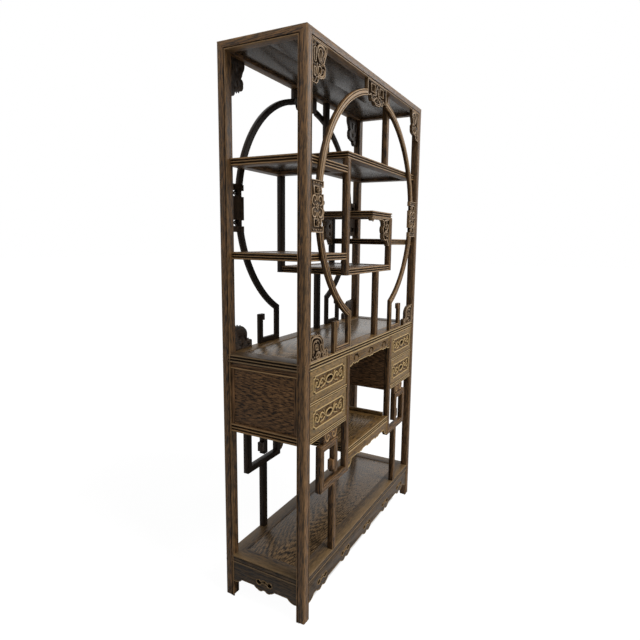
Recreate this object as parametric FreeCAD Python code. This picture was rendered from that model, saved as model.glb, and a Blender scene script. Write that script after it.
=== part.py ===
"""Chinese curio shelf: an open display stand with a moon ring lattice over a kneehole desk.

Millimetres, +Z up. The origin is the centre of the footprint on the floor. X runs to the
viewer's right and the front faces -Y. Every piece is a solid of its own.
"""
import FreeCAD, Part
import math
import os

Vector = FreeCAD.Vector

# Overall size
HEIGHT = 2000.0
WIDTH = 1080.0
DEPTH = 350.0

# Corner posts, feet and the grooves that set off a bead along an edge
POST_SIZE = 34.0
POST_ARRIS = 5.0
FOOT_CHAMFER = 5.0
BEAD_WIDTH = 4.0
GROOVE_WIDTH = 2.0
GROOVE_DEPTH = 1.5

# Top frame
TOP_RAIL_HEIGHT = 30.0
TOP_PANEL_DROP = 10.0

# Framed boards: desk, base and shelves
EDGE_INSET = 1.0
PANEL_THICKNESS = 10.0
PANEL_TONGUE = 6.0
PANEL_DROP = 2.0
DESK_THICKNESS = 30.0
DESK_RAIL_WIDTH = 58.0
BASE_TOP = 170.0
BASE_THICKNESS = 26.0
BASE_RAIL_WIDTH = 58.0
SHELF_THICKNESS = 26.0
SHELF_RAIL_WIDTH = 44.0
SHELF_END_INSET = 22.0

# Lattice plane, flush with the front and back faces
LATTICE_THICKNESS = 17.0

# Moon ring, its legs, foot bars and free uprights
RING_SIDE_GAP = 45.0
RING_WIDTH = 23.0
RING_TOP_GAP = 31.0
UPPER_ARC_COUNT = 3
LOWER_ARC_COUNT = 2
LEG_WIDTH = 20.0
FREE_UPRIGHT_HEIGHT = 116.0
HOOK_REACH = 12.0
HOOK_HEIGHT = 25.0

# Crown medallion between ring and top rail
CROWN_HALF_WIDTH = 92.0
CROWN_HEIGHT = 81.0
CROWN_WINDOW_WIDTH = 34.0
CROWN_WINDOW_HEIGHT = 27.0
CROWN_WINDOW_DROP = 11.0
CROWN_WINDOW_CENTRE = 41.0

# Side medallions between ring and corner posts
MEDALLION_HEIGHT = 168.0
MEDALLION_DROP = 12.0
MEDALLION_BAR = 21.0
MEDALLION_BLOCK = 83.0
MEDALLION_STILE = 20.0
MEDALLION_BEAD = 19.0

# Carved corner pieces
CARVING_RECESS = 2.0
SPANDREL_WIDTH = 92.0
SPANDREL_HEIGHT = 128.0
BRACKET_WIDTH = 118.0
BRACKET_HEIGHT = 92.0
SMALL_SPANDREL_SETBACK = 1.0
SMALL_SPANDREL_HEIGHT = 120.0

# Inner posts of the upper part and the free end of the small top board
INNER_POST = 24.0
SMALL_TOP_FREE_END = 19.0

# Desk body
BAR_SIZE = 24.0
CABINET_HEIGHT = 258.0
BOTTOM_RAIL_HEIGHT = 21.0
MID_RAIL_HEIGHT = 14.0
PANEL_BOARD = 14.0
SIDE_PANEL_INSET = 6.0
SIDE_WAIST_HEIGHT = 15.0
SIDE_BEAD = 8.0
SIDE_BEAD_INSET = 2.0
SIDE_RAIL_HEIGHT = 32.0
FLOOR_THICKNESS = 10.0
RUNNER_WIDTH = 18.0

# Drawers
DRAWER_FRONT_THICKNESS = 20.0
DRAWER_GAP = 1.5
RUNNER_GAP = 0.3
DRAWER_SIDE = 10.0
DRAWER_BOTTOM = 6.0
DRAWER_BOTTOM_RISE = 3.0
DRAWER_TOP_GAP = 12.0
DRAWER_REAR_GAP = 12.0
FIELD_MARGIN = 23.0
FIELD_DEPTH = 2.0
PULL_WIDTH = 50.0
PULL_HEIGHT = 27.0
PULL_DEPTH = 3.0

# Kneehole apron, shelf and rails
KNEE_APRON_HEIGHT = 40.0
KNEE_APRON_END_DROP = 8.0
KNEE_MOTIF_DROP = 5.0
KNEE_PIERCING_HEIGHT = 23.0
KNEE_SHELF_DROP = 122.0
KNEE_SHELF_APRON = 31.0
KNEE_SHELF_END_DROP = 28.0
KNEE_SHELF_END_WIDTH = 34.0
KNEE_SHELF_MOTIF_DROP = 6.0
KNEE_SIDE_RAIL_HEIGHT = 16.0
APRON_THICKNESS = 14.0
APRON_INSET = 3.0

# Lower frets, measured from the desk body
FRET_DROP = 40.0
FRET_HEIGHT = 177.0
FRET_REACH = 197.0
FRET_INNER_REACH = 93.0
FRET_TAIL_RISE = 42.0
FRET_HOOK_REACH = 14.0
FRET_HOOK_HEIGHT = 38.0
FRET_HOOK_RISE = 14.0
SUPPORT_REACH = 98.0
STUB_WIDTH = 100.0
STUB_NOTCH = 12.0

# Base aprons
BASE_APRON_HEIGHT = 64.0
BASE_APRON_END_DROP = 14.0
BASE_APRON_END_WIDTH = 38.0
MOTIF_HALF_WIDTH = 44.0
MOTIF_DROP = 14.0
PIERCING_HEIGHT = 22.0
PIERCING_RISE = 10.0

# How far a cutter runs past what it cuts
OVERRUN = 20.0

# Heights as shares: the desk of the whole height, the shelves of the bay between desk and top rail
DESK_TOP_SHARE = 0.475
BOX_FLOOR_SHARE = 0.29608
LOWER_LEFT_SHARE = 0.3549
SMALL_RIGHT_SHARE = 0.4098
SMALL_TOP_SHARE = 0.52255
UPPER_LEFT_SHARE = 0.66667
UPPER_RIGHT_SHARE = 0.71961
LOWER_DRAWER_SHARE = 0.50673

# Distances from the middle as shares of half the width
LEFT_POST_SHARE = -0.38148
RIGHT_POST_SHARE = 0.41667
UPPER_POST_SHARE = 0.29074
UNDER_POST_SHARE = 0.16111
LEG_SHARE = 0.39444
FREE_UPRIGHT_SHARE = 0.60185
DIVIDER_SHARE = 0.40556

# Widths in the kneehole's aprons as shares of half its width
KNEE_MOTIF_WIDTH_SHARE = 0.12
KNEE_END_WIDTH_SHARE = 0.16

# Largest radius of the ring as a share of the bay's height
RING_RADIUS_SHARE = 0.46

# Shares of a width and a height; a pair of pairs is an arc through the first to the second
FRONT_MOTIF_SHARES = (-0.80, -0.42, 0.0, 0.42, 0.80)
KNEE_MOTIF_SHARES = (-0.70, 0.0, 0.70)
KNEE_SHELF_MOTIF_SHARES = (-0.42, 0.0, 0.42)
MOTIF_EDGE_SHARES = (
    (-1.0, 0.0),
    ((-0.93, 0.30), (-0.84, 0.42)),
    ((-0.80, 0.58), (-0.70, 0.60)),
    ((-0.42, 1.0), (-0.14, 0.62)),
    ((0.0, 0.52), (0.14, 0.62)),
    ((0.42, 1.0), (0.70, 0.60)),
    ((0.80, 0.58), (0.84, 0.42)),
    ((0.93, 0.30), (1.0, 0.0)),
)
PIERCING_SHARES = (
    (-0.80, 0.32),
    ((-0.62, 0.92), (-0.34, 0.62)),
    ((0.0, 1.0), (0.34, 0.62)),
    ((0.62, 0.92), (0.80, 0.32)),
    ((0.58, 0.0), (0.30, 0.26)),
    ((0.0, 0.46), (-0.30, 0.26)),
    ((-0.58, 0.0), (-0.80, 0.32)),
)
SPANDREL_SHARES = (
    (0.0, 0.0),
    (1.0, 0.0),
    (1.0, 0.05),
    ((0.99, 0.16), (0.92, 0.26)),
    ((0.87, 0.33), (0.84, 0.40)),
    (0.78, 0.47),
    ((0.90, 0.53), (0.90, 0.62)),
    ((0.87, 0.74), (0.70, 0.80)),
    ((0.54, 0.84), (0.40, 0.83)),
    ((0.39, 0.93), (0.26, 1.0)),
    (0.0, 1.0),
)
SPANDREL_PIERCINGS_SHARES = (
    ((0.50, 0.25), ((0.56, 0.15), (0.64, 0.24)), (0.60, 0.38), ((0.56, 0.41), (0.52, 0.38))),
    ((0.15, 0.22), ((0.20, 0.17), (0.25, 0.22)), (0.24, 0.45), ((0.19, 0.49), (0.15, 0.45))),
    ((0.42, 0.60), ((0.52, 0.56), (0.62, 0.60)), (0.60, 0.70), ((0.50, 0.73), (0.42, 0.70))),
    ((0.15, 0.67), ((0.19, 0.63), (0.23, 0.67)), (0.22, 0.79), ((0.18, 0.82), (0.15, 0.79))),
)
BRACKET_SHARES = (
    (0.0, 0.0),
    (1.0, 0.0),
    (1.0, 0.22),
    ((0.97, 0.30), (0.90, 0.31)),
    ((0.84, 0.29), (0.80, 0.28)),
    ((0.765, 0.37), (0.755, 0.50)),
    ((0.735, 0.70), (0.64, 0.83)),
    ((0.50, 0.94), (0.34, 0.95)),
    ((0.20, 0.97), (0.12, 1.0)),
    ((0.04, 0.98), (0.0, 0.92)),
)
BRACKET_PIERCINGS_SHARES = (
    ((0.315, 0.50), ((0.36, 0.55), (0.405, 0.50)), (0.405, 0.46), ((0.36, 0.41), (0.315, 0.46))),
    ((0.58, 0.50), ((0.62, 0.56), (0.66, 0.52)), (0.72, 0.33), ((0.70, 0.28), (0.66, 0.30))),
    ((0.37, 0.13), ((0.46, 0.155), (0.49, 0.24)), (0.55, 0.24), ((0.53, 0.10), (0.39, 0.07))),
    ((0.73, 0.13), ((0.80, 0.17), (0.89, 0.14)), (0.89, 0.10), ((0.80, 0.07), (0.73, 0.09))),
)
SMALL_SPANDREL_SHARES = (
    (0.0, 0.0),
    (1.0, 0.0),
    (1.0, 0.07),
    ((0.95, 0.13), (0.90, 0.07)),
    (0.42, 0.07),
    ((0.35, 0.14), (0.33, 0.28)),
    ((0.38, 0.42), (0.33, 0.55)),
    ((0.34, 0.68), (0.20, 0.78)),
    ((0.10, 0.86), (0.07, 1.0)),
    (0.0, 1.0),
)
SMALL_SPANDREL_HOLES_SHARES = ((0.15, 0.30, 0.05), (0.14, 0.58, 0.05))
KNEE_PIERCING_SHARES = (
    (-0.86, 0.06),
    ((-0.98, 0.34), (-0.82, 0.60)),
    ((-0.44, 1.0), (0.0, 0.94)),
    ((0.44, 1.0), (0.82, 0.60)),
    ((0.98, 0.34), (0.86, 0.06)),
    ((0.70, 0.0), (0.56, 0.12)),
    ((0.50, 0.52), (0.0, 0.58)),
    ((-0.50, 0.52), (-0.56, 0.12)),
    ((-0.70, 0.0), (-0.86, 0.06)),
)
CROWN_SHARES = (
    (-1.0, 0.0),
    (1.0, 0.0),
    (1.0, 0.72),
    (0.78, 0.72),
    ((0.70, 0.66), (0.62, 0.76)),
    ((0.48, 0.90), (0.34, 0.84)),
    ((0.22, 0.98), (0.0, 1.0)),
    ((-0.22, 0.98), (-0.34, 0.84)),
    ((-0.48, 0.90), (-0.62, 0.76)),
    ((-0.70, 0.66), (-0.78, 0.72)),
    (-1.0, 0.72),
)
BEAD_POSITION_SHARE = 0.62

# Places worked out from the sizes above
HALF_WIDTH = WIDTH / 2
HALF_DEPTH = DEPTH / 2
POST_X = HALF_WIDTH - POST_SIZE
POST_Y = HALF_DEPTH - POST_SIZE
TOP_RAIL_BOTTOM = HEIGHT - TOP_RAIL_HEIGHT
DESK_TOP = HEIGHT * DESK_TOP_SHARE
BAY_HEIGHT = TOP_RAIL_BOTTOM - DESK_TOP
LATTICE_BACK = HALF_DEPTH - LATTICE_THICKNESS
RING_OUTER_RADIUS = min(POST_X - RING_SIDE_GAP, BAY_HEIGHT * RING_RADIUS_SHARE)
LEG_CENTRE = HALF_WIDTH * LEG_SHARE
FREE_UPRIGHT_CENTRE = HALF_WIDTH * FREE_UPRIGHT_SHARE
RING_INNER_RADIUS = RING_OUTER_RADIUS - RING_WIDTH
RING_MID_RADIUS = RING_OUTER_RADIUS - RING_WIDTH / 2
RING_Z = TOP_RAIL_BOTTOM - RING_TOP_GAP - RING_OUTER_RADIUS
KINK_Z = RING_Z - math.sqrt(RING_MID_RADIUS ** 2 - LEG_CENTRE ** 2)
MEDALLION_TOP = RING_Z - MEDALLION_DROP + MEDALLION_HEIGHT / 2
MEDALLION_BOTTOM = MEDALLION_TOP - MEDALLION_HEIGHT
SHELF_END = HALF_WIDTH - SHELF_END_INSET
BOX_FLOOR_TOP = DESK_TOP + BAY_HEIGHT * BOX_FLOOR_SHARE
BOX_FLOOR_BOTTOM = BOX_FLOOR_TOP - SHELF_THICKNESS
LOWER_LEFT_TOP = DESK_TOP + BAY_HEIGHT * LOWER_LEFT_SHARE
SMALL_RIGHT_TOP = DESK_TOP + BAY_HEIGHT * SMALL_RIGHT_SHARE
SMALL_TOP_TOP = DESK_TOP + BAY_HEIGHT * SMALL_TOP_SHARE
SMALL_TOP_BOTTOM = SMALL_TOP_TOP - SHELF_THICKNESS
UPPER_LEFT_TOP = DESK_TOP + BAY_HEIGHT * UPPER_LEFT_SHARE
UPPER_RIGHT_TOP = DESK_TOP + BAY_HEIGHT * UPPER_RIGHT_SHARE
LEFT_POST_CENTRE = HALF_WIDTH * LEFT_POST_SHARE
RIGHT_POST_CENTRE = HALF_WIDTH * RIGHT_POST_SHARE
UPPER_POST_CENTRE = HALF_WIDTH * UPPER_POST_SHARE
UNDER_POST_CENTRE = HALF_WIDTH * UNDER_POST_SHARE
LEFT_POST_OUTER = LEFT_POST_CENTRE - INNER_POST / 2
RIGHT_POST_INNER = RIGHT_POST_CENTRE - INNER_POST / 2
RIGHT_POST_OUTER = RIGHT_POST_CENTRE + INNER_POST / 2
SMALL_SPANDREL_WIDTH = RIGHT_POST_INNER - SMALL_TOP_FREE_END - SMALL_SPANDREL_SETBACK
DESK_BOTTOM = DESK_TOP - DESK_THICKNESS
BASE_BOTTOM = BASE_TOP - BASE_THICKNESS
DIVIDER_CENTRE = HALF_WIDTH * DIVIDER_SHARE
DIVIDER_INNER = DIVIDER_CENTRE - BAR_SIZE / 2
DIVIDER_OUTER = DIVIDER_CENTRE + BAR_SIZE / 2
KNEE_MOTIF_HALF_WIDTH = DIVIDER_INNER * KNEE_MOTIF_WIDTH_SHARE
KNEE_APRON_END_WIDTH = DIVIDER_INNER * KNEE_END_WIDTH_SHARE
CABINET_BOTTOM = DESK_BOTTOM - CABINET_HEIGHT
LOWER_OPENING_BOTTOM = CABINET_BOTTOM + BOTTOM_RAIL_HEIGHT
DRAWERS_HEIGHT = CABINET_HEIGHT - BOTTOM_RAIL_HEIGHT - MID_RAIL_HEIGHT
MID_RAIL_BOTTOM = LOWER_OPENING_BOTTOM + DRAWERS_HEIGHT * LOWER_DRAWER_SHARE
UPPER_OPENING_BOTTOM = MID_RAIL_BOTTOM + MID_RAIL_HEIGHT
RAIL_BACK = HALF_DEPTH - BAR_SIZE
PANEL_OUTER = HALF_WIDTH - SIDE_PANEL_INSET
PANEL_INNER = PANEL_OUTER - PANEL_BOARD
KNEE_PANEL_X = DIVIDER_CENTRE + PANEL_BOARD / 2
BACK_PANEL_FRONT = HALF_DEPTH - EDGE_INSET - PANEL_BOARD
BACK_PANEL_BACK = HALF_DEPTH - EDGE_INSET
KNEE_SHELF_TOP = CABINET_BOTTOM - KNEE_SHELF_DROP
KNEE_SHELF_BOTTOM = KNEE_SHELF_TOP - SHELF_THICKNESS
FRET_TOP = CABINET_BOTTOM - FRET_DROP
FRET_BOTTOM = FRET_TOP - FRET_HEIGHT
FRET_TAIL_BOTTOM = FRET_BOTTOM + FRET_TAIL_RISE


def box(x, y, z):
    """Box between three pairs of limits, each given in either order."""
    low = Vector(min(x), min(y), min(z))
    high = Vector(max(x), max(y), max(z))
    size = high - low
    return Part.makeBox(size.x, size.y, size.z, low)


def placed(plane, a, b, level):
    """Point of a named plane, lifted to a level along the plane's normal."""
    if plane == "xz":
        return Vector(a, level, b)
    if plane == "yz":
        return Vector(level, a, b)
    return Vector(a, b, level)


def prism(outline, plane, low, high):
    """Outline in a plane pushed along the plane's normal from low to high."""
    edges = []
    here = placed(plane, *outline[0], low)
    start = here
    for step in outline[1:]:
        is_arc = isinstance(step[0], tuple)
        end = placed(plane, *(step[1] if is_arc else step), low)
        if is_arc:
            edges.append(Part.Arc(here, placed(plane, *step[0], low), end).toShape())
        else:
            edges.append(Part.makeLine(here, end))
        here = end
    if not here.isEqual(start, GROOVE_DEPTH * 1e-6):
        edges.append(Part.makeLine(here, start))
    sweep = placed(plane, 0, 0, high - low)
    return Part.Face(Part.Wire(edges)).extrude(sweep)


def scaled_outline(shares, corner, width, height):
    """Outline given as shares of a width and a height from a corner."""
    def point(share):
        return (corner[0] + width * share[0], corner[1] + height * share[1])
    outline = []
    for step in shares:
        if isinstance(step[0], tuple):
            outline.append((point(step[0]), point(step[1])))
        else:
            outline.append(point(step))
    return outline


def flipped_x(shape):
    """Mirror image on the other side of the YZ plane."""
    return shape.mirror(Vector(0, 0, 0), Vector(1, 0, 0))


def flipped_y(shape):
    """Mirror image on the other side of the XZ plane."""
    return shape.mirror(Vector(0, 0, 0), Vector(0, 1, 0))


def save(name, *solids):
    """Write one sub-part, alone or as a group of separate solids."""
    shape = solids[0] if len(solids) == 1 else Part.makeCompound(list(solids))
    shape.exportStep("parts/" + name + ".step")


def both(solids, flip):
    """Solids together with their mirror images."""
    return list(solids) + [flip(solid) for solid in solids]


def mitred_bars(path, width, low, high):
    """Square-ended bars along a path in the XZ plane, mitred where the path turns."""
    offsets = []
    for index, point in enumerate(path):
        before = path[max(index - 1, 0)]
        after = path[min(index + 1, len(path) - 1)]
        into = unit(before, point) if index > 0 else unit(point, after)
        out = unit(point, after) if index < len(path) - 1 else into
        normal = (-(into[1] + out[1]), into[0] + out[0])
        length = math.hypot(*normal)
        normal = (normal[0] / length, normal[1] / length)
        stretch = width / 2 / (normal[0] * -out[1] + normal[1] * out[0])
        shift = (normal[0] * stretch, normal[1] * stretch)
        offsets.append(((point[0] + shift[0], point[1] + shift[1]),
                        (point[0] - shift[0], point[1] - shift[1])))
    bars = []
    for (left, right), (next_left, next_right) in zip(offsets, offsets[1:]):
        bars.append(prism([left, next_left, next_right, right], "xz", low, high))
    return bars


def unit(start, end):
    """Direction from one point to another in a plane."""
    length = math.hypot(end[0] - start[0], end[1] - start[1])
    return ((end[0] - start[0]) / length, (end[1] - start[1]) / length)


def corner_post():
    """Post at the right back corner with a rounded arris, grooved faces and a chamfered foot."""
    profile = [(POST_X, POST_Y), (HALF_WIDTH, POST_Y), (HALF_WIDTH, HALF_DEPTH - POST_ARRIS),
               (arris_point(), (HALF_WIDTH - POST_ARRIS, HALF_DEPTH)), (POST_X, HALF_DEPTH)]
    post = prism(profile, "xy", 0, HEIGHT)
    side_groove = box((HALF_WIDTH - GROOVE_DEPTH, HALF_WIDTH),
                      (POST_Y + BEAD_WIDTH, POST_Y + BEAD_WIDTH + GROOVE_WIDTH), (0, HEIGHT))
    face_groove = box((POST_X + BEAD_WIDTH, POST_X + BEAD_WIDTH + GROOVE_WIDTH),
                      (HALF_DEPTH - GROOVE_DEPTH, HALF_DEPTH), (0, HEIGHT))
    return post.cut([side_groove, face_groove] + foot_cutters()).cut(long_rail_blank()).cut(end_rail_blank())


def foot_cutters():
    """Wedges that chamfer the four lower edges of the right back post."""
    wedges = []
    for plane, inner, outer, along in (("xz", POST_X, HALF_WIDTH, (POST_Y, HALF_DEPTH)),
                                       ("yz", POST_Y, HALF_DEPTH, (POST_X, HALF_WIDTH))):
        for edge, inset in ((inner, inner + FOOT_CHAMFER), (outer, outer - FOOT_CHAMFER)):
            wedges.append(prism([(inset, 0), (edge, FOOT_CHAMFER), (edge, 0)], plane, *along))
    return wedges


def arris_point():
    """Middle point of the rounded arris of the right back post."""
    inset = POST_ARRIS * (1 - math.sqrt(1 / 2))
    return (HALF_WIDTH - inset, HALF_DEPTH - inset)


def long_rail_blank():
    """Back top rail before its groove, mitred three ways at its ends."""
    elevation = prism([(-HALF_WIDTH, HEIGHT), (HALF_WIDTH, HEIGHT),
                       (POST_X, TOP_RAIL_BOTTOM), (-POST_X, TOP_RAIL_BOTTOM)],
                      "xz", POST_Y, HALF_DEPTH)
    plan = prism([(-HALF_WIDTH, HALF_DEPTH), (HALF_WIDTH, HALF_DEPTH), (POST_X, POST_Y), (-POST_X, POST_Y)],
                 "xy", TOP_RAIL_BOTTOM, HEIGHT)
    return elevation.common(plan)


def end_rail_blank():
    """Right top rail before its groove, mitred three ways at its ends."""
    elevation = prism([(-HALF_DEPTH, HEIGHT), (HALF_DEPTH, HEIGHT),
                       (POST_Y, TOP_RAIL_BOTTOM), (-POST_Y, TOP_RAIL_BOTTOM)],
                      "yz", POST_X, HALF_WIDTH)
    plan = prism([(HALF_WIDTH, -HALF_DEPTH), (HALF_WIDTH, HALF_DEPTH), (POST_X, POST_Y), (POST_X, -POST_Y)],
                 "xy", TOP_RAIL_BOTTOM, HEIGHT)
    return elevation.common(plan)


def top_rail_groove(x, y):
    """Cutter for the groove near the lower edge of a top rail."""
    low = TOP_RAIL_BOTTOM + BEAD_WIDTH
    return box(x, y, (low, low + GROOVE_WIDTH))


def top_back_rail():
    """Grooved top rail along the back."""
    groove = top_rail_groove((-HALF_WIDTH, HALF_WIDTH), (HALF_DEPTH - GROOVE_DEPTH, HALF_DEPTH))
    return long_rail_blank().cut([groove, top_panel()])


def top_right_rail():
    """Grooved top rail across the right end."""
    groove = top_rail_groove((HALF_WIDTH - GROOVE_DEPTH, HALF_WIDTH), (-HALF_DEPTH, HALF_DEPTH))
    return end_rail_blank().cut([groove, top_panel()])


def top_panel():
    """Panel held in a groove around the top frame."""
    reach_x = POST_X + PANEL_TONGUE
    reach_y = POST_Y + PANEL_TONGUE
    top = HEIGHT - TOP_PANEL_DROP
    return box((-reach_x, reach_x), (-reach_y, reach_y), (top - PANEL_THICKNESS, top))


def post_blocks():
    """Plain blocks where the corner posts pass through a board."""
    block = box((POST_X, HALF_WIDTH), (POST_Y, HALF_DEPTH), (0, HEIGHT))
    return both(both([block], flipped_x), flipped_y)


def framed_board(x, y, top, thickness, rail_width, posts):
    """Mitred frame with reeded edges around a set-in panel, notched for the posts.

    Returns the front, back, left and right rails and the panel.
    """
    low = top - thickness
    inner_x = (x[0] + rail_width, x[1] - rail_width)
    inner_y = (y[0] + rail_width, y[1] - rail_width)
    panel_top = top - PANEL_DROP
    panel = box((inner_x[0] - PANEL_TONGUE, inner_x[1] + PANEL_TONGUE),
                (inner_y[0] - PANEL_TONGUE, inner_y[1] + PANEL_TONGUE),
                (panel_top - PANEL_THICKNESS, panel_top))
    outer = [(x[0], y[0]), (x[1], y[0]), (x[1], y[1]), (x[0], y[1])]
    inner = [(inner_x[0], inner_y[0]), (inner_x[1], inner_y[0]),
             (inner_x[1], inner_y[1]), (inner_x[0], inner_y[1])]
    reach_x = (x[0] - OVERRUN, x[1] + OVERRUN)
    reach_y = (y[0] - OVERRUN, y[1] + OVERRUN)
    cutters = [panel] + list(posts)
    reeds = 3
    for count in range(1, reeds):
        middle = low + thickness * count / reeds
        groove = (middle - GROOVE_WIDTH / 2, middle + GROOVE_WIDTH / 2)
        cutters.append(box(reach_x, (y[0] - OVERRUN, y[0] + GROOVE_DEPTH), groove))
        cutters.append(box(reach_x, (y[1] - GROOVE_DEPTH, y[1] + OVERRUN), groove))
        cutters.append(box((x[0] - OVERRUN, x[0] + GROOVE_DEPTH), reach_y, groove))
        cutters.append(box((x[1] - GROOVE_DEPTH, x[1] + OVERRUN), reach_y, groove))
    rails = []
    for first in (0, 2, 3, 1):
        second = (first + 1) % 4
        rail = prism([outer[first], outer[second], inner[second], inner[first]], "xy", low, top)
        rails.append(rail.cut(cutters))
    return rails + [panel]


def full_board(top, thickness, rail_width):
    """Framed board that reaches the outer faces between the four corner posts."""
    reach_x = HALF_WIDTH - EDGE_INSET
    reach_y = HALF_DEPTH - EDGE_INSET
    return framed_board((-reach_x, reach_x), (-reach_y, reach_y), top, thickness, rail_width, post_blocks())


def shelf(x, top):
    """Inner shelf between the two lattice planes, notched for the posts that it meets."""
    posts = post_blocks() + inner_posts()
    return framed_board(x, (-LATTICE_BACK, LATTICE_BACK), top, SHELF_THICKNESS, SHELF_RAIL_WIDTH, posts)


def inner_post(centre, low, high):
    """Square post behind the front lattice."""
    half = INNER_POST / 2
    return box((centre - half, centre + half), (-LATTICE_BACK, INNER_POST - LATTICE_BACK), (low, high))


def front_inner_posts():
    """The four inner posts behind the front lattice."""
    return [inner_post(LEFT_POST_CENTRE, BOX_FLOOR_BOTTOM, UPPER_RIGHT_TOP - SHELF_THICKNESS),
            inner_post(UPPER_POST_CENTRE, UPPER_RIGHT_TOP, TOP_RAIL_BOTTOM),
            inner_post(RIGHT_POST_CENTRE, BOX_FLOOR_BOTTOM, SMALL_TOP_BOTTOM),
            inner_post(UNDER_POST_CENTRE, DESK_TOP, BOX_FLOOR_BOTTOM)]


def inner_posts():
    """All eight inner posts."""
    return both(front_inner_posts(), flipped_y)


def leg_path():
    """Path of the right leg: along the ring, down, out along the desk and up the free upright."""
    tangent = unit((0, RING_Z), (LEG_CENTRE, KINK_Z))
    lead = (LEG_CENTRE - tangent[1] * LEG_WIDTH, KINK_Z + tangent[0] * LEG_WIDTH)
    foot = DESK_TOP + LEG_WIDTH / 2
    return [lead, (LEG_CENTRE, KINK_Z), (LEG_CENTRE, foot), (FREE_UPRIGHT_CENTRE, foot),
            (FREE_UPRIGHT_CENTRE, DESK_TOP + FREE_UPRIGHT_HEIGHT)]


def leg_bars():
    """Right leg, foot bar and free upright with its hook."""
    path = leg_path()
    leg, foot, upright = mitred_bars(path, LEG_WIDTH, -HALF_DEPTH, -LATTICE_BACK)[1:]
    inner = FREE_UPRIGHT_CENTRE - LEG_WIDTH / 2
    top = DESK_TOP + FREE_UPRIGHT_HEIGHT
    hook = box((inner - HOOK_REACH, inner), (-HALF_DEPTH, -LATTICE_BACK), (top - HOOK_HEIGHT, top))
    return [leg, foot, upright.fuse(hook).removeSplitter()]


def ring_arcs():
    """Arc pieces on the right: three from side medallion to crown and two from leg to medallion."""
    low = Vector(0, -HALF_DEPTH, RING_Z)
    axis = Vector(0, 1, 0)
    disc = Part.makeCylinder(RING_OUTER_RADIUS, LATTICE_THICKNESS, low, axis)
    hole = Part.makeCylinder(RING_INNER_RADIUS, LATTICE_THICKNESS, low, axis)
    y = (-HALF_DEPTH, -LATTICE_BACK)
    reach = RING_OUTER_RADIUS + OVERRUN
    ring = disc.cut(hole)
    upper = ring.common(box((CROWN_HALF_WIDTH, reach), y, (MEDALLION_TOP, RING_Z + reach)))
    lower = ring.common(box((0, reach), y, (RING_Z - reach, MEDALLION_BOTTOM))).cut(below_kink())
    low_angle = math.asin((MEDALLION_TOP - RING_Z) / RING_MID_RADIUS)
    high_angle = math.acos(CROWN_HALF_WIDTH / RING_MID_RADIUS)
    kink_angle = math.asin((KINK_Z - RING_Z) / RING_MID_RADIUS)
    medallion_angle = math.asin((MEDALLION_BOTTOM - RING_Z) / RING_MID_RADIUS)
    return (arc_pieces(upper, low_angle, high_angle, UPPER_ARC_COUNT)
            + arc_pieces(lower, kink_angle, medallion_angle, LOWER_ARC_COUNT))


def arc_pieces(arc, start, end, count):
    """Arc cut into equal pieces by radial joints between two angles."""
    pieces = []
    step = (end - start) / count
    reach = RING_OUTER_RADIUS * 2
    for index in range(count):
        first = start + step * (index if index > 0 else -1)
        last = start + step * (index + 1 if index < count - 1 else count + 1)
        outline = [(0, RING_Z)]
        for angle in (first, last):
            outline.append((reach * math.cos(angle), RING_Z + reach * math.sin(angle)))
        pieces.append(arc.common(prism(outline, "xz", -HALF_DEPTH, -LATTICE_BACK)))
    return pieces


def below_kink():
    """Cutter under the mitre between the ring and its right leg."""
    path = leg_path()
    into = unit(path[0], path[1])
    along = (into[0], into[1] - 1)
    length = math.hypot(*along)
    across = (-along[1] / length, along[0] / length)
    reach = RING_OUTER_RADIUS
    near = (path[1][0] - across[0] * LEG_CENTRE, path[1][1] - across[1] * LEG_CENTRE)
    far = (path[1][0] + across[0] * reach, path[1][1] + across[1] * reach)
    low = RING_Z - RING_OUTER_RADIUS - reach
    outline = [near, far, (far[0], low), (near[0] - reach, low), (near[0] - reach, near[1])]
    return prism(outline, "xz", -HALF_DEPTH - OVERRUN, -LATTICE_BACK + OVERRUN)


def moon_ring_front():
    """Front moon ring with both legs."""
    return both(ring_arcs() + leg_bars(), flipped_x)


def crown_medallion():
    """Openwork piece between the front ring and the top rail."""
    outline = scaled_outline(CROWN_SHARES, (0, TOP_RAIL_BOTTOM), CROWN_HALF_WIDTH, -CROWN_HEIGHT)
    body = prism(outline, "xz", -HALF_DEPTH + CARVING_RECESS, -LATTICE_BACK)
    top = TOP_RAIL_BOTTOM - CROWN_WINDOW_DROP
    half = CROWN_WINDOW_WIDTH / 2
    for side in (-1, 1):
        centre = side * CROWN_WINDOW_CENTRE
        body = body.cut(box((centre - half, centre + half), (-HALF_DEPTH, -LATTICE_BACK),
                            (top - CROWN_WINDOW_HEIGHT, top)))
    return body


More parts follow.
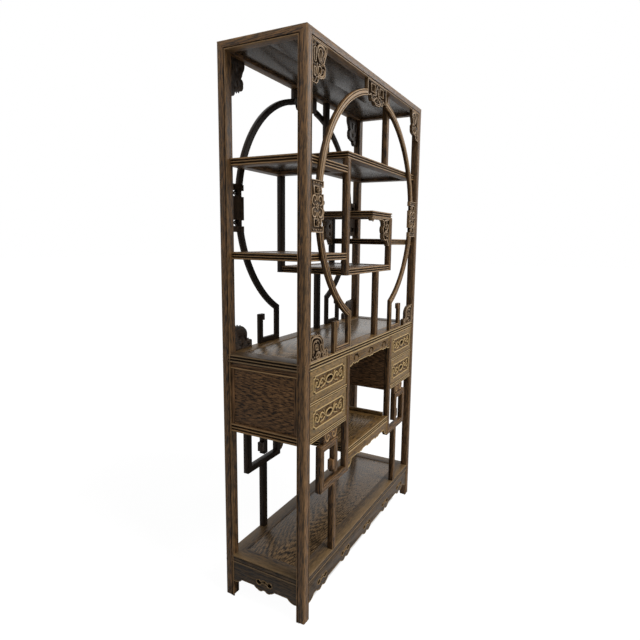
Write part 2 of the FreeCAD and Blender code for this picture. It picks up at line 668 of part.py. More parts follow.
def side_medallion():
    """Right front medallion: stile, two bars, a block and two bead necks."""
    y = (-HALF_DEPTH + CARVING_RECESS, -LATTICE_BACK)
    inner = ring_inner_edge(MEDALLION_BOTTOM - RING_Z)
    stile_edge = POST_X - MEDALLION_STILE
    middle = (MEDALLION_TOP + MEDALLION_BOTTOM) / 2
    block_low = middle - MEDALLION_BLOCK / 2
    block_high = middle + MEDALLION_BLOCK / 2
    pieces = [box((stile_edge, POST_X), y, (MEDALLION_BOTTOM, MEDALLION_TOP)),
              box((inner, POST_X), y, (MEDALLION_TOP - MEDALLION_BAR, MEDALLION_TOP)),
              box((inner, POST_X), y, (MEDALLION_BOTTOM, MEDALLION_BOTTOM + MEDALLION_BAR)),
              box((inner, POST_X), y, (block_low, block_high))]
    neck_x = stile_edge + (inner - stile_edge) * BEAD_POSITION_SHARE
    necks = ((MEDALLION_BOTTOM + MEDALLION_BAR, block_low), (block_high, MEDALLION_TOP - MEDALLION_BAR))
    for low, high in necks:
        pieces.append(box((neck_x - MEDALLION_BEAD / 2, neck_x + MEDALLION_BEAD / 2), y, (low, high)))
    return pieces[0].fuse(pieces[1:]).removeSplitter()


def ring_inner_edge(rise):
    """Distance of the ring's inner edge from the centre at a height over the ring's centre."""
    return math.sqrt(RING_INNER_RADIUS ** 2 - rise ** 2)


def carved_corner(shares, piercings_shares, corner, width, height):
    """Carved openwork piece in the front lattice plane, with its piercings cut through."""
    level = (-HALF_DEPTH + CARVING_RECESS, -LATTICE_BACK)
    body = prism(scaled_outline(shares, corner, width, height), "xz", *level)
    for piercing in piercings_shares:
        body = body.cut(prism(scaled_outline(piercing, corner, width, height), "xz", *level))
    return body


def spandrel():
    """Right front spandrel under the top rail."""
    return carved_corner(SPANDREL_SHARES, SPANDREL_PIERCINGS_SHARES, (POST_X, TOP_RAIL_BOTTOM),
                         -SPANDREL_WIDTH, -SPANDREL_HEIGHT)


def desk_bracket():
    """Right front bracket on the desk."""
    return carved_corner(BRACKET_SHARES, BRACKET_PIERCINGS_SHARES, (POST_X, DESK_TOP),
                         -BRACKET_WIDTH, BRACKET_HEIGHT)


def small_spandrel():
    """Front spandrel under the small top board, beside the right inner post."""
    low = -LATTICE_BACK
    high = INNER_POST - LATTICE_BACK - CARVING_RECESS
    corner = (RIGHT_POST_INNER, SMALL_TOP_BOTTOM)
    outline = scaled_outline(SMALL_SPANDREL_SHARES, corner, -SMALL_SPANDREL_WIDTH, -SMALL_SPANDREL_HEIGHT)
    body = prism(outline, "xz", low + CARVING_RECESS, high)
    for across, down, radius in SMALL_SPANDREL_HOLES_SHARES:
        centre = Vector(corner[0] - SMALL_SPANDREL_WIDTH * across, low,
                        corner[1] - SMALL_SPANDREL_HEIGHT * down)
        body = body.cut(Part.makeCylinder(SMALL_SPANDREL_WIDTH * radius, INNER_POST, centre, Vector(0, 1, 0)))
    return body


def fret_path():
    """Path of the right front fret, from the divider's top down and round the meander."""
    low = FRET_BOTTOM + BAR_SIZE / 2
    high = FRET_TOP - BAR_SIZE / 2
    outer = DIVIDER_CENTRE + FRET_REACH
    inner = DIVIDER_CENTRE + FRET_INNER_REACH
    return [(DIVIDER_CENTRE, DESK_BOTTOM), (DIVIDER_CENTRE, low), (outer, low), (outer, high),
            (inner, high), (inner, FRET_TAIL_BOTTOM)]


def fret_bars():
    """Divider post and the four fret bars of the right front fret."""
    bars = mitred_bars(fret_path(), BAR_SIZE, -HALF_DEPTH, -RAIL_BACK)
    edge = DIVIDER_CENTRE + FRET_INNER_REACH + BAR_SIZE / 2
    hook_low = FRET_TAIL_BOTTOM + FRET_HOOK_RISE
    hook = box((edge, edge + FRET_HOOK_REACH), (-HALF_DEPTH, -RAIL_BACK),
               (hook_low, hook_low + FRET_HOOK_HEIGHT))
    bars[-1] = bars[-1].fuse(hook).removeSplitter()
    return bars


def support_post():
    """Post from the base up to the right front fret."""
    centre = DIVIDER_CENTRE + SUPPORT_REACH
    half = BAR_SIZE / 2
    return box((centre - half, centre + half), (-HALF_DEPTH + EDGE_INSET, -RAIL_BACK), (BASE_TOP, FRET_BOTTOM))


def carved_stub():
    """Stub between the right front fret and the cabinet's underside."""
    inner = DIVIDER_CENTRE + FRET_INNER_REACH - BAR_SIZE / 2
    outer = inner + STUB_WIDTH
    outline = [(inner, FRET_TOP), (outer - STUB_NOTCH, FRET_TOP), (outer, FRET_TOP + STUB_NOTCH),
               (outer - STUB_NOTCH, CABINET_BOTTOM), (inner + STUB_NOTCH, CABINET_BOTTOM),
               (inner, CABINET_BOTTOM - STUB_NOTCH)]
    return prism(outline, "xz", -HALF_DEPTH + APRON_INSET, -RAIL_BACK)


def apron(plane, half_length, top, edge, ends, motif, level):
    """Apron board with turned-down ends and lobed motifs along its lower edge.

    ends is (drop, width); motif is (centre shares, half width, drop); level is the pair of
    faces along the plane's normal.
    """
    end_drop, end_width = ends
    centre_shares, motif_half, motif_drop = motif
    outline = [(-half_length, top), (-half_length, edge - end_drop)]
    outline.append(end_curve(-half_length, edge, end_drop, end_width))
    for share in centre_shares:
        centre = half_length * share
        outline += scaled_outline(MOTIF_EDGE_SHARES, (centre, edge), motif_half, -motif_drop)
    outline.append((half_length - end_width, edge))
    outline.append((end_curve(half_length, edge, end_drop, -end_width)[0], (half_length, edge - end_drop)))
    outline.append((half_length, top))
    return prism(outline, plane, *level)


def end_curve(end, edge, drop, width):
    """Rounded lobe from an apron's turned-down end up to its straight edge."""
    eighth = math.sqrt(1 / 2)
    return ((end + width * eighth, edge - drop * eighth), (end + width, edge))


def pierced(body, plane, centres, edge, shares, half_width, height, level):
    """Board with cloud-shaped piercings above its lower edge."""
    for centre in centres:
        outline = scaled_outline(shares, (centre, edge), half_width, height)
        body = body.cut(prism(outline, plane, *level))
    return body


def base_apron(plane, half_length, centre_shares, outer):
    """Base apron in a vertical plane, with its outer face at the given level."""
    level = (outer - APRON_THICKNESS, outer)
    edge = BASE_BOTTOM - BASE_APRON_HEIGHT
    body = apron(plane, half_length, BASE_BOTTOM, edge, (BASE_APRON_END_DROP, BASE_APRON_END_WIDTH),
                 (centre_shares, MOTIF_HALF_WIDTH, MOTIF_DROP), level)
    centres = [half_length * share for share in centre_shares]
    return pierced(body, plane, centres, edge + PIERCING_RISE, PIERCING_SHARES, MOTIF_HALF_WIDTH,
                   PIERCING_HEIGHT, level)


def knee_apron():
    """Apron under the desk across the front of the kneehole."""
    level = (-HALF_DEPTH + APRON_INSET, -HALF_DEPTH + APRON_INSET + APRON_THICKNESS)
    edge = DESK_BOTTOM - KNEE_APRON_HEIGHT
    body = apron("xz", DIVIDER_INNER, DESK_BOTTOM, edge, (KNEE_APRON_END_DROP, KNEE_APRON_END_WIDTH),
                 (KNEE_MOTIF_SHARES, KNEE_MOTIF_HALF_WIDTH, KNEE_MOTIF_DROP), level)
    centres = [DIVIDER_INNER * share for share in KNEE_MOTIF_SHARES]
    rise = edge + KNEE_APRON_HEIGHT / 2 - KNEE_PIERCING_HEIGHT / 2
    return pierced(body, "xz", centres, rise, KNEE_PIERCING_SHARES, KNEE_MOTIF_HALF_WIDTH,
                   KNEE_PIERCING_HEIGHT, level)


def knee_shelf_apron():
    """Scalloped apron under the front edge of the kneehole shelf."""
    level = (-HALF_DEPTH + APRON_INSET, -HALF_DEPTH + APRON_INSET + APRON_THICKNESS)
    edge = KNEE_SHELF_BOTTOM - KNEE_SHELF_APRON
    return apron("xz", DIVIDER_INNER, KNEE_SHELF_BOTTOM, edge, (KNEE_SHELF_END_DROP, KNEE_SHELF_END_WIDTH),
                 (KNEE_SHELF_MOTIF_SHARES, KNEE_MOTIF_HALF_WIDTH, KNEE_SHELF_MOTIF_DROP), level)


def knee_side_rail():
    """Low rail on the right end of the kneehole shelf."""
    return box((DIVIDER_INNER - PANEL_BOARD, DIVIDER_INNER), (-RAIL_BACK, RAIL_BACK),
               (KNEE_SHELF_TOP, KNEE_SHELF_TOP + KNEE_SIDE_RAIL_HEIGHT))


def cabinet_carcass():
    """Right cabinet: outer side, its waist, bead and rail, inner side, back and floor."""
    side_low = CABINET_BOTTOM + SIDE_RAIL_HEIGHT
    bead_top = DESK_BOTTOM - SIDE_WAIST_HEIGHT
    bead_low = bead_top - SIDE_BEAD
    along = (-POST_Y, POST_Y)
    bead_outer = HALF_WIDTH - SIDE_BEAD_INSET
    return [box((PANEL_INNER, PANEL_OUTER), along, (side_low, bead_low)),
            box((PANEL_INNER, PANEL_OUTER), along, (bead_top, DESK_BOTTOM)),
            box((PANEL_INNER, bead_outer), along, (bead_low, bead_top)),
            box((PANEL_INNER, bead_outer), along, (CABINET_BOTTOM, side_low)),
            box((KNEE_PANEL_X - PANEL_BOARD, KNEE_PANEL_X), (-RAIL_BACK, RAIL_BACK),
                (CABINET_BOTTOM, DESK_BOTTOM)),
            box((DIVIDER_OUTER, POST_X), (BACK_PANEL_FRONT, BACK_PANEL_BACK),
                (CABINET_BOTTOM, DESK_BOTTOM)),
            box((DIVIDER_OUTER, POST_X), (-RAIL_BACK, BACK_PANEL_FRONT),
                (CABINET_BOTTOM, CABINET_BOTTOM + FLOOR_THICKNESS))]


def cabinet_rails():
    """Right cabinet: bottom and middle front rails and the four drawer runners."""
    x = (DIVIDER_OUTER, POST_X)
    y = (-HALF_DEPTH + EDGE_INSET, -RAIL_BACK)
    floor_top = CABINET_BOTTOM + FLOOR_THICKNESS
    rails = [box(x, y, (CABINET_BOTTOM, LOWER_OPENING_BOTTOM)),
             box(x, y, (MID_RAIL_BOTTOM, UPPER_OPENING_BOTTOM))]
    groove = box(x, (-HALF_DEPTH, -HALF_DEPTH + EDGE_INSET + GROOVE_DEPTH),
                 (CABINET_BOTTOM + BOTTOM_RAIL_HEIGHT / 2 - GROOVE_WIDTH / 2,
                  CABINET_BOTTOM + BOTTOM_RAIL_HEIGHT / 2 + GROOVE_WIDTH / 2))
    rails[0] = rails[0].cut(groove)
    for low, high in ((floor_top, LOWER_OPENING_BOTTOM), (MID_RAIL_BOTTOM, UPPER_OPENING_BOTTOM)):
        y = (-RAIL_BACK, BACK_PANEL_FRONT)
        rails.append(box((DIVIDER_OUTER, DIVIDER_OUTER + RUNNER_WIDTH), y, (low, high)))
        rails.append(box((POST_X - RUNNER_WIDTH, POST_X), y, (low, high)))
    return rails


def drawer_front(low, high):
    """Right drawer front with a sunk field and a shallow oval pull, between two heights."""
    face = -HALF_DEPTH + EDGE_INSET
    x = (DIVIDER_OUTER + DRAWER_GAP, POST_X - DRAWER_GAP)
    z = (low + DRAWER_GAP, high - DRAWER_GAP)
    board = box(x, (face, face + DRAWER_FRONT_THICKNESS), z)
    floor = face + FIELD_DEPTH
    board = board.cut(box((x[0] + FIELD_MARGIN, x[1] - FIELD_MARGIN), (face, floor),
                          (z[0] + FIELD_MARGIN, z[1] - FIELD_MARGIN)))
    oval = Part.Ellipse(Vector(0, 0, 0), PULL_WIDTH / 2, PULL_HEIGHT / 2).toShape()
    dish = Part.Face(Part.Wire([oval])).extrude(Vector(0, 0, -PULL_DEPTH - FIELD_DEPTH))
    dish.rotate(Vector(0, 0, 0), Vector(1, 0, 0), 90)
    dish.translate(Vector(sum(x) / 2, face, sum(z) / 2))
    return board.cut(dish)


def drawer_box(low, high):
    """Right drawer box: two sides, a back and a bottom behind the front."""
    front = -HALF_DEPTH + EDGE_INSET + DRAWER_FRONT_THICKNESS
    rear = BACK_PANEL_FRONT - DRAWER_REAR_GAP
    x = (DIVIDER_OUTER + DRAWER_GAP, POST_X - DRAWER_GAP)
    z = (low + RUNNER_GAP, high - DRAWER_TOP_GAP)
    inner = (x[0] + DRAWER_SIDE, x[1] - DRAWER_SIDE)
    bottom = z[0] + DRAWER_BOTTOM_RISE
    return [box((x[0], inner[0]), (front, rear), z),
            box((inner[1], x[1]), (front, rear), z),
            box(inner, (rear - DRAWER_SIDE, rear), z),
            box(inner, (front, rear - DRAWER_SIDE), (bottom, bottom + DRAWER_BOTTOM))]


def build_frame():
    """Corner posts and top frame."""
    post = corner_post()
    save("corner_post_right_back", post)
    save("corner_post_left_back", flipped_x(post))
    save("corner_post_right_front", flipped_y(post))
    save("corner_post_left_front", flipped_x(flipped_y(post)))
    save("top_front_rail", flipped_y(top_back_rail()))
    save("top_back_rail", top_back_rail())
    save("top_end_rails", *both([top_right_rail()], flipped_x))
    save("top_panel", top_panel())


def build_boards():
    """Desk, base and shelves."""
    boards = (("desk", DESK_TOP, DESK_THICKNESS, DESK_RAIL_WIDTH),
              ("base", BASE_TOP, BASE_THICKNESS, BASE_RAIL_WIDTH))
    for name, top, thickness, rail_width in boards:
        front, back, left, right, panel = full_board(top, thickness, rail_width)
        save(name + "_front_rail", front)
        save(name + "_back_rail", back)
        save(name + "_end_rails", left, right)
        save(name + "_panel", panel)
    save("shelf_upper_left", *shelf((-SHELF_END, LEFT_POST_OUTER), UPPER_LEFT_TOP))
    save("shelf_upper_right", *shelf((LEFT_POST_OUTER, SHELF_END), UPPER_RIGHT_TOP))
    save("shelf_lower_left", *shelf((-SHELF_END, LEFT_POST_OUTER), LOWER_LEFT_TOP))
    save("shelf_box_floor", *shelf((LEFT_POST_OUTER, RIGHT_POST_OUTER), BOX_FLOOR_TOP))
    save("shelf_small_top", *shelf((SMALL_TOP_FREE_END, RIGHT_POST_OUTER), SMALL_TOP_TOP))
    save("shelf_small_right", *shelf((RIGHT_POST_OUTER, SHELF_END), SMALL_RIGHT_TOP))


def build_lattice():
    """Moon rings, medallions, carved corners and inner posts."""
    pairs = (("moon_ring", moon_ring_front()), ("crown_medallion", [crown_medallion()]),
             ("corner_spandrels", both([spandrel()], flipped_x)),
             ("desk_brackets", both([desk_bracket()], flipped_x)),
             ("shelf_posts", front_inner_posts()))
    for name, solids in pairs:
        save(name + "_front", *solids)
        save(name + "_back", *[flipped_y(solid) for solid in solids])
    medallion = side_medallion()
    save("side_medallion_front_right", medallion)
    save("side_medallion_front_left", flipped_x(medallion))
    save("side_medallion_back_right", flipped_y(medallion))
    save("side_medallion_back_left", flipped_x(flipped_y(medallion)))
    save("small_spandrels", *both([small_spandrel()], flipped_y))


def build_desk_body():
    """Dividers, frets, cabinets, drawers and the kneehole."""
    bars = fret_bars()
    dividers = both(bars[:1], flipped_x)
    frets = both(bars[1:] + [support_post(), carved_stub()], flipped_x)
    save("divider_posts_front", *dividers)
    save("divider_posts_back", *[flipped_y(solid) for solid in dividers])
    save("frets_front", *frets)
    save("frets_back", *[flipped_y(solid) for solid in frets])
    save("kneehole_aprons", *both([knee_apron()], flipped_y))
    reach_y = HALF_DEPTH - EDGE_INSET
    save("kneehole_shelf", *framed_board((-DIVIDER_INNER, DIVIDER_INNER), (-reach_y, reach_y), KNEE_SHELF_TOP,
                                         SHELF_THICKNESS, SHELF_RAIL_WIDTH, []))
    save("kneehole_shelf_trim", *(both([knee_shelf_apron()], flipped_y) + both([knee_side_rail()], flipped_x)))
    save("cabinet_carcass_right", *cabinet_carcass())
    save("cabinet_carcass_left", *[flipped_x(solid) for solid in cabinet_carcass()])
    save("cabinet_rails", *both(cabinet_rails(), flipped_x))
    rows = (("upper", UPPER_OPENING_BOTTOM, DESK_BOTTOM), ("lower", LOWER_OPENING_BOTTOM, MID_RAIL_BOTTOM))
    for row, low, high in rows:
        front = drawer_front(low, high)
        walls = drawer_box(low, high)
        save("drawer_" + row + "_right_front", front)
        save("drawer_" + row + "_left_front", flipped_x(front))
        save("drawer_" + row + "_right_box", *walls)
        save("drawer_" + row + "_left_box", *[flipped_x(wall) for wall in walls])


def build_base_aprons():
    """Aprons round the base board."""
    outer_y = HALF_DEPTH - APRON_INSET
    outer_x = HALF_WIDTH - APRON_INSET
    long_apron = base_apron("xz", POST_X, FRONT_MOTIF_SHARES, outer_y)
    end_apron = base_apron("yz", POST_Y, (0.0,), outer_x)
    save("base_apron_back", long_apron)
    save("base_apron_front", flipped_y(long_apron))
    save("base_apron_right", end_apron)
    save("base_apron_left", flipped_x(end_apron))


def main():
    """Build and save every sub-part."""
    os.makedirs("parts", exist_ok=True)
    build_frame()
    build_boards()
    build_lattice()
    build_desk_body()
    build_base_aprons()


main()
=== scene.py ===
import logging
import math
import random
from collections.abc import Callable, Sequence
from dataclasses import dataclass
from enum import Enum

import bmesh
import bpy
from mathutils import Matrix, Vector


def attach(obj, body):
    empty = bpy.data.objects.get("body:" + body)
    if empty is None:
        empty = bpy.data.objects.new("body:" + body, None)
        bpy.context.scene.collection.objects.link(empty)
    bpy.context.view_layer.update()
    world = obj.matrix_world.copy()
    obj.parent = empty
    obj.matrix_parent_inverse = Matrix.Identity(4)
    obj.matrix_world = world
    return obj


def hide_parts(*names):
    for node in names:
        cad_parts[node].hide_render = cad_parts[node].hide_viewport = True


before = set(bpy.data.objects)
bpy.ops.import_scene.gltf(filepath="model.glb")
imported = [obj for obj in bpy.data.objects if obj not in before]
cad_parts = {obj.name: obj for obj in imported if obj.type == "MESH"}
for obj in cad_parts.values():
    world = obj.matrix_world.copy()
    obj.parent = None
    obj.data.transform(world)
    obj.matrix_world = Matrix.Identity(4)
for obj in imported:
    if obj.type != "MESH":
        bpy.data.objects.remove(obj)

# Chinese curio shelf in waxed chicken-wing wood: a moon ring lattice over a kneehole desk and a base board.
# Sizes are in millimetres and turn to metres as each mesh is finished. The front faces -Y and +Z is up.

LOG = logging.getLogger("curio_shelf")
MM = 0.001
X, Y, Z = Vector((1, 0, 0)), Vector((0, 1, 0)), Vector((0, 0, 1))
GRAIN = "grain"
RUB = "rub"
# Sign of Y on each side of the shelf
SIDES = {"front": -1, "back": 1}
# Wear of untouched wood and of carved strands; below the first limit dark wax and painted shade show, above the second
# pale wood and painted highlight
PLAIN, STRAND, WAXED_AND_SHADED, HANDLED_AND_LIT = 0.5, 0.85, 0.45, 0.55
# Rounding and wear of a corner deep in a quirk
DEEP = (0, 0.05)
# Angles in degrees above which edges are shaded sharp, and are eased
SHARP_SHADE, SHARP_EDGE = 38, 30
# Boards wider than this in millimetres are cut across the log's middle
WIDE_BOARD = 90.0
# Wave texture scale that gives one ring a metre
RING_SCALE = 0.314

Corner = tuple[float, ...]
Span = tuple[float, float]
Place = tuple[float, float, float]
Plane = tuple[Vector, Vector]
Stroke = tuple[Place, ...]
Solid = bmesh.types.BMesh
Socket = bpy.types.NodeSocket
Tree = bpy.types.NodeTree


class Slot(Enum):
    """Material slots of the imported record."""

    FRAME = "frame_wood"
    PANEL = "panel_wood"
    CARVED = "carved_wood"
    DRAWER = "drawer_wood"


class Flips(Enum):
    """Sign pairs for X and Y that lay out the copies of a right back solid."""

    ONE = ((1, 1),)
    LEFT_RIGHT = ((1, 1), (-1, 1))
    FRONT_BACK = ((1, 1), (1, -1))


CORNERS = {"right_back": (1, 1), "left_back": (-1, 1), "right_front": (1, -1), "left_front": (-1, -1)}


def linear(code: str) -> tuple[float, float, float, float]:
    """Turn an sRGB hex colour to linear light.

    Args:
        code: Six hex digits after a hash mark.

    Returns:
        Red, green, blue and an alpha of one.
    """
    values = [int(code[place:place + 2], 16) / 255 for place in (1, 3, 5)]
    red, green, blue = [v / 12.92 if v <= 0.04045 else ((v + 0.055) / 1.055) ** 2.4 for v in values]
    return red, green, blue, 1.0


def add_node(tree: Tree, kind: str, values: dict | None = None) -> bpy.types.Node:
    """Add a shader node.

    Args:
        tree: Node tree that it joins.
        kind: The node's type name after ShaderNode.
        values: Attributes, socket values and incoming output sockets, by name or socket index.

    Returns:
        The new node.
    """
    node = tree.nodes.new("ShaderNode" + kind)
    for key, value in (values or {}).items():
        if isinstance(value, Socket):
            tree.links.new(value, node.inputs[key])
        elif isinstance(key, str) and hasattr(node, key):
            setattr(node, key, value)
        else:
            node.inputs[key].default_value = value
    return node


def maths(tree: Tree, operation: str, *values: float | Socket, clamp: bool = False) -> Socket:
    """Work on numbers and sockets with one Math node."""
    return add_node(tree, "Math", {"operation": operation, "use_clamp": clamp, **dict(enumerate(values))}).outputs[0]


def ranged(tree: Tree, *values: float | Socket) -> Socket:
    """Map a value from one range, given by its ends, to another."""
    return add_node(tree, "MapRange", dict(enumerate(values))).outputs[0]


def blend(tree: Tree, share: Socket, first: Corner | Socket, second: Corner | Socket) -> Socket:
    """Mix two colours."""
    return add_node(tree, "Mix", {"data_type": "RGBA", 0: share, 6: first, 7: second}).outputs[2]


def blank_tree(holder: bpy.types.Material | bpy.types.World) -> Tree:
    """Empty the node tree of a material or a world and give it."""
    holder.use_nodes = True
    holder.node_tree.nodes.clear()
    return holder.node_tree


def show(name: str, data: bpy.types.ID) -> bpy.types.Object:
    """Put data into the scene as an object."""
    thing = bpy.data.objects.new(name, data)
    bpy.context.scene.collection.objects.link(thing)
    return thing


@dataclass(frozen=True)
class ChickenWingWood:
    """Jichi wood, sawn, scraped and waxed: dark heart with fine paler lines and a satin skin.

    The lines follow the grain attribute, whose first axis runs along each board, so every board looks
    sawn from a log of its own. The rub attribute is wear: high on crests that hands and wax polish pale,
    low in quirks and carved ground where dark wax stays. It also carries painted light: raised on the
    ring's upper crown as a painted highlight, and low on the lattice's back sides and the piercings' walls
    as painted shade. Spacings are in millimetres.
    """

    name: str
    heart: str = "#150e09"
    line: str = "#745535"
    crest: str = "#a3845c"
    # Dark wax of the hollows, also used as painted shade
    wax_and_shade: str = "#15100b"
    ring_spacing: float = 9.0
    line_spacing: float = 3.0
    wander: float = 2.4
    base: float = 0.44
    figure: float = 0.2
    flecks: float = 0.9
    tone: float = 0.6
    stretch: float = 0.08
    roughness: float = 0.42
    shine: float = 0.2
    relief: float = 0.3

    def material(self) -> bpy.types.Material:
        """Give the material of this finish, made once."""
        return bpy.data.materials.get(self.name) or self.build()

    def build(self) -> bpy.types.Material:
        """Make the material."""
        material = bpy.data.materials.new(self.name)
        tree = blank_tree(material)
        grain = add_node(tree, "Attribute", {"attribute_name": GRAIN}).outputs["Vector"]
        rub = add_node(tree, "Attribute", {"attribute_name": RUB}).outputs["Fac"]
        # Growth rings, stretched sixteen times along the board
        slow = add_node(tree, "Mapping", {"Scale": (0.06, 1, 1), "Vector": grain}).outputs[0]
        rings = add_node(tree, "TexWave", {
            "wave_type": "RINGS", "rings_direction": "X", "wave_profile": "SIN", "Vector": slow,
            "Scale": RING_SCALE / (self.ring_spacing * MM), "Distortion": self.wander, "Detail": 3.0,
            "Detail Scale": 0.6, "Detail Roughness": 0.55}).outputs["Fac"]
        # Pale parenchyma lines; the real ones are under a millimetre apart and are drawn coarser to show
        stretched = add_node(tree, "Mapping", {"Scale": (self.stretch, 1, 1), "Vector": grain}).outputs[0]
        lines = add_node(tree, "TexNoise", {"Scale": 1 / (self.line_spacing * MM), "Detail": 4.0, "Roughness": 0.66,
                                            "Distortion": 0.4, "Vector": stretched}).outputs[0]
        sharp = ranged(tree, lines, 0.41, 0.59, -0.5, 0.5)
        # Broad light and dark patches of the heartwood, a hand wide and a metre long
        patches = add_node(tree, "TexNoise", {"Scale": 16.0, "Detail": 3.0, "Roughness": 0.6,
                                              "Vector": slow}).outputs[0]
        level = maths(tree, "MULTIPLY_ADD", rings, self.figure, self.base - (self.figure + self.tone) / 2)
        level = maths(tree, "MULTIPLY_ADD", patches, self.tone, level)
        level = maths(tree, "MULTIPLY_ADD", sharp, self.flecks, level, clamp=True)
        # Crests rubbed pale and dark wax left in the quirks; the same two blends give the painted highlight and painted
        # shade that the rub attribute carries
        colour = blend(tree, level, linear(self.heart), linear(self.line))
        colour = blend(tree, ranged(tree, rub, HANDLED_AND_LIT, 1.0, 0.0, 0.8), colour, linear(self.crest))
        colour = blend(tree, ranged(tree, rub, 0.0, WAXED_AND_SHADED, 0.88, 0.0), colour, linear(self.wax_and_shade))
        bump = add_node(tree, "Bump", {"Strength": self.relief, "Distance": 0.0003, "Height": sharp}).outputs[0]
        surface = add_node(tree, "BsdfPrincipled", {
            "IOR": 1.5, "Base Color": colour, "Normal": bump,
            "Roughness": ranged(tree, sharp, -0.5, 0.5, self.roughness - 0.03, self.roughness + 0.05),
            "Specular IOR Level": ranged(tree, rub, 0.0, WAXED_AND_SHADED, 0.0, self.shine)}).outputs[0]
        add_node(tree, "OutputMaterial", {"Surface": surface})
        return material


# Posts, rails and lattice: straight-grained stock with fine lines
FRAME_WOOD = ChickenWingWood("waxed_jichi_frame")
# Desk top and kneehole shelf, sawn through the heart, so the rings open into bold arches
BOARD_WOOD = ChickenWingWood("waxed_jichi_board", heart="#120c07", line="#6b5539", ring_spacing=8.0, wander=4.5,
                             figure=0.45, flecks=0.5, tone=0.5, base=0.42, roughness=0.28, shine=0.34, relief=0.15)
# Lattice at the back, darker as painted shade, where the light from the front does not reach
BACK_PAINTED_SHADE_WOOD = ChickenWingWood("painted_shade_jichi_back", heart="#0e0906", line="#48382a", crest="#6b563c", base=0.42)
# Shelf and top panels, seen mostly from below: a darker heart as painted shade for their undersides, and plainer boards
# with a high wax polish
PANEL_WOOD = ChickenWingWood("polished_jichi_panel", heart="#140e08", line="#54422d", ring_spacing=14.0,
                             line_spacing=2.0, figure=0.15, flecks=0.5, tone=0.12, stretch=0.03, base=0.38,
                             roughness=0.27, shine=0.42, relief=0.05)
# Cabinet sides: dark red-brown boards with fine feathered lines
SIDE_WOOD = ChickenWingWood("waxed_jichi_side", heart="#0e0805", line="#7a5a3c", ring_spacing=7.0, wander=5.0,
                            line_spacing=3.4, figure=0.3, flecks=0.8, tone=0.3, stretch=0.035, base=0.43, shine=0.1)
# Base board: the same wood, browner and a little darker; the rails and aprons around it and the desk's end rails darker
# still, as painted shade
BASE_WOOD = ChickenWingWood("waxed_jichi_base", heart="#0d0905", line="#644f37", ring_spacing=6.5, wander=8.0,
                            figure=0.55, tone=0.3, base=0.4, roughness=0.3, shine=0.26, relief=0.15)
END_AND_BASE_SHADE_WOOD = ChickenWingWood("painted_shade_jichi_base_frame", heart="#0c0805", line="#513e28", crest="#8f7450")
# Desk front, handled most: the wax has worn thin and the wood has gone golden
DESK_WOOD = ChickenWingWood("waxed_jichi_desk", heart="#1a1108", line="#775a33", crest="#c6aa78", flecks=0.75)
# Carved pieces: the crests are rubbed lighter and dark wax lies in the ground; at the back darker, as painted shade
CARVED_WOOD = ChickenWingWood("waxed_jichi_carved", heart="#150e08", line="#6c5234", crest="#a98f70", flecks=0.6)
BACK_CARVED_PAINTED_SHADE_WOOD = ChickenWingWood("stained_jichi_back_carved", heart="#0e0906", line="#48382a", crest="#6b563c",
                                   base=0.42)
# Bare softwood of the drawer boxes, planed and left dry
BOX_WOOD = ChickenWingWood("planed_camphor_box", heart="#8a6a45", line="#b08f63", crest="#b08f63",
                           ring_spacing=8.0, figure=0.3, flecks=0.3, roughness=0.6)
# Finish of the lattice and of its carving by the side's sign; the back one is darker as painted shade
FINISHES = {-1: FRAME_WOOD, 1: BACK_PAINTED_SHADE_WOOD}
CARVED_FINISHES = {-1: CARVED_WOOD, 1: BACK_CARVED_PAINTED_SHADE_WOOD}


def spot(vert: bmesh.types.BMVert) -> Corner:
    """Rounded place of a vertex, by which things are taken in the same order on each run."""
    return tuple(round(value, 2) for value in vert.co)


def loose_parts(solid: Solid) -> list[list[bmesh.types.BMVert]]:
    """Split a mesh into its separate islands of vertices."""
    left = set(solid.verts)
    parts = []
    for first in sorted(solid.verts, key=spot):
        if first not in left:
            continue
        left.discard(first)
        found = [first]
        for vert in found:
            for edge in vert.link_edges:
                other = edge.other_vert(vert)
                if other in left:
                    left.discard(other)
                    found.append(other)
        parts.append(found)
    return parts


def lay_grain(solid: Solid, chance: random.Random, ring: Vector | None = None,
              along: int | None = None) -> None:
    """Write where each board was cut from its log into the grain layer.

    Args:
        solid: Mesh whose islands are boards.
        chance: Source of the boards' places in the log.
        ring: Centre of a bent piece, whose grain runs round it.
        along: Axis of the grain, or none for each board's longest side.
    """
    layer = solid.verts.layers.float_vector.get(GRAIN) or solid.verts.layers.float_vector.new(GRAIN)
    for verts in loose_parts(solid):
        low, high = (Vector([end(v.co[a] for v in verts) for a in range(3)]) for end in (min, max))
        size = high - low
        order = sorted(range(3), key=lambda a: (a != along, -size[a]))
        wide = size[order[1]] > WIDE_BOARD
        shift = Vector((chance.uniform(-3, 3),
                        chance.uniform(-0.03, 0.03) if wide else chance.uniform(0.04, 0.12),
                        chance.uniform(0.05, 0.11)))
        slope = (chance.uniform(0.12, 0.2) if wide else chance.uniform(0.02, 0.05)) * chance.choice((-1, 1))
        for vert in verts:
            away = vert.co - ((low + high) / 2 if ring is None else ring)
            radius = math.hypot(away.x, away.z)
            place = Vector([away[a] for a in order] if ring is None
                           else (math.atan2(away.z, away.x) * radius, radius, away.y)) * MM
            place.z += place.x * slope
            vert[layer] = place + shift


def rub_layer(solid: Solid) -> bmesh.types.BMLayerItem:
    """Give the wear layer of a mesh, made if it has none."""
    return solid.verts.layers.float.get(RUB) or solid.verts.layers.float.new(RUB)


def wear(solid: Solid, amount: Callable[[Vector], float]) -> Solid:
    """Set each vertex's wear from its place, and give the mesh back."""
    layer = rub_layer(solid)
    for vert in solid.verts:
        vert[layer] = amount(vert.co)
    return solid


def flipped(solids: Sequence[Solid], x: int = 1, y: int = 1) -> Sequence[Solid]:
    """Mirror solids where a sign is negative, and give them back."""
    for solid in solids:
        bmesh.ops.scale(solid, vec=(x, y, 1), verts=solid.verts)
        bmesh.ops.recalc_face_normals(solid, faces=solid.faces)
    return solids


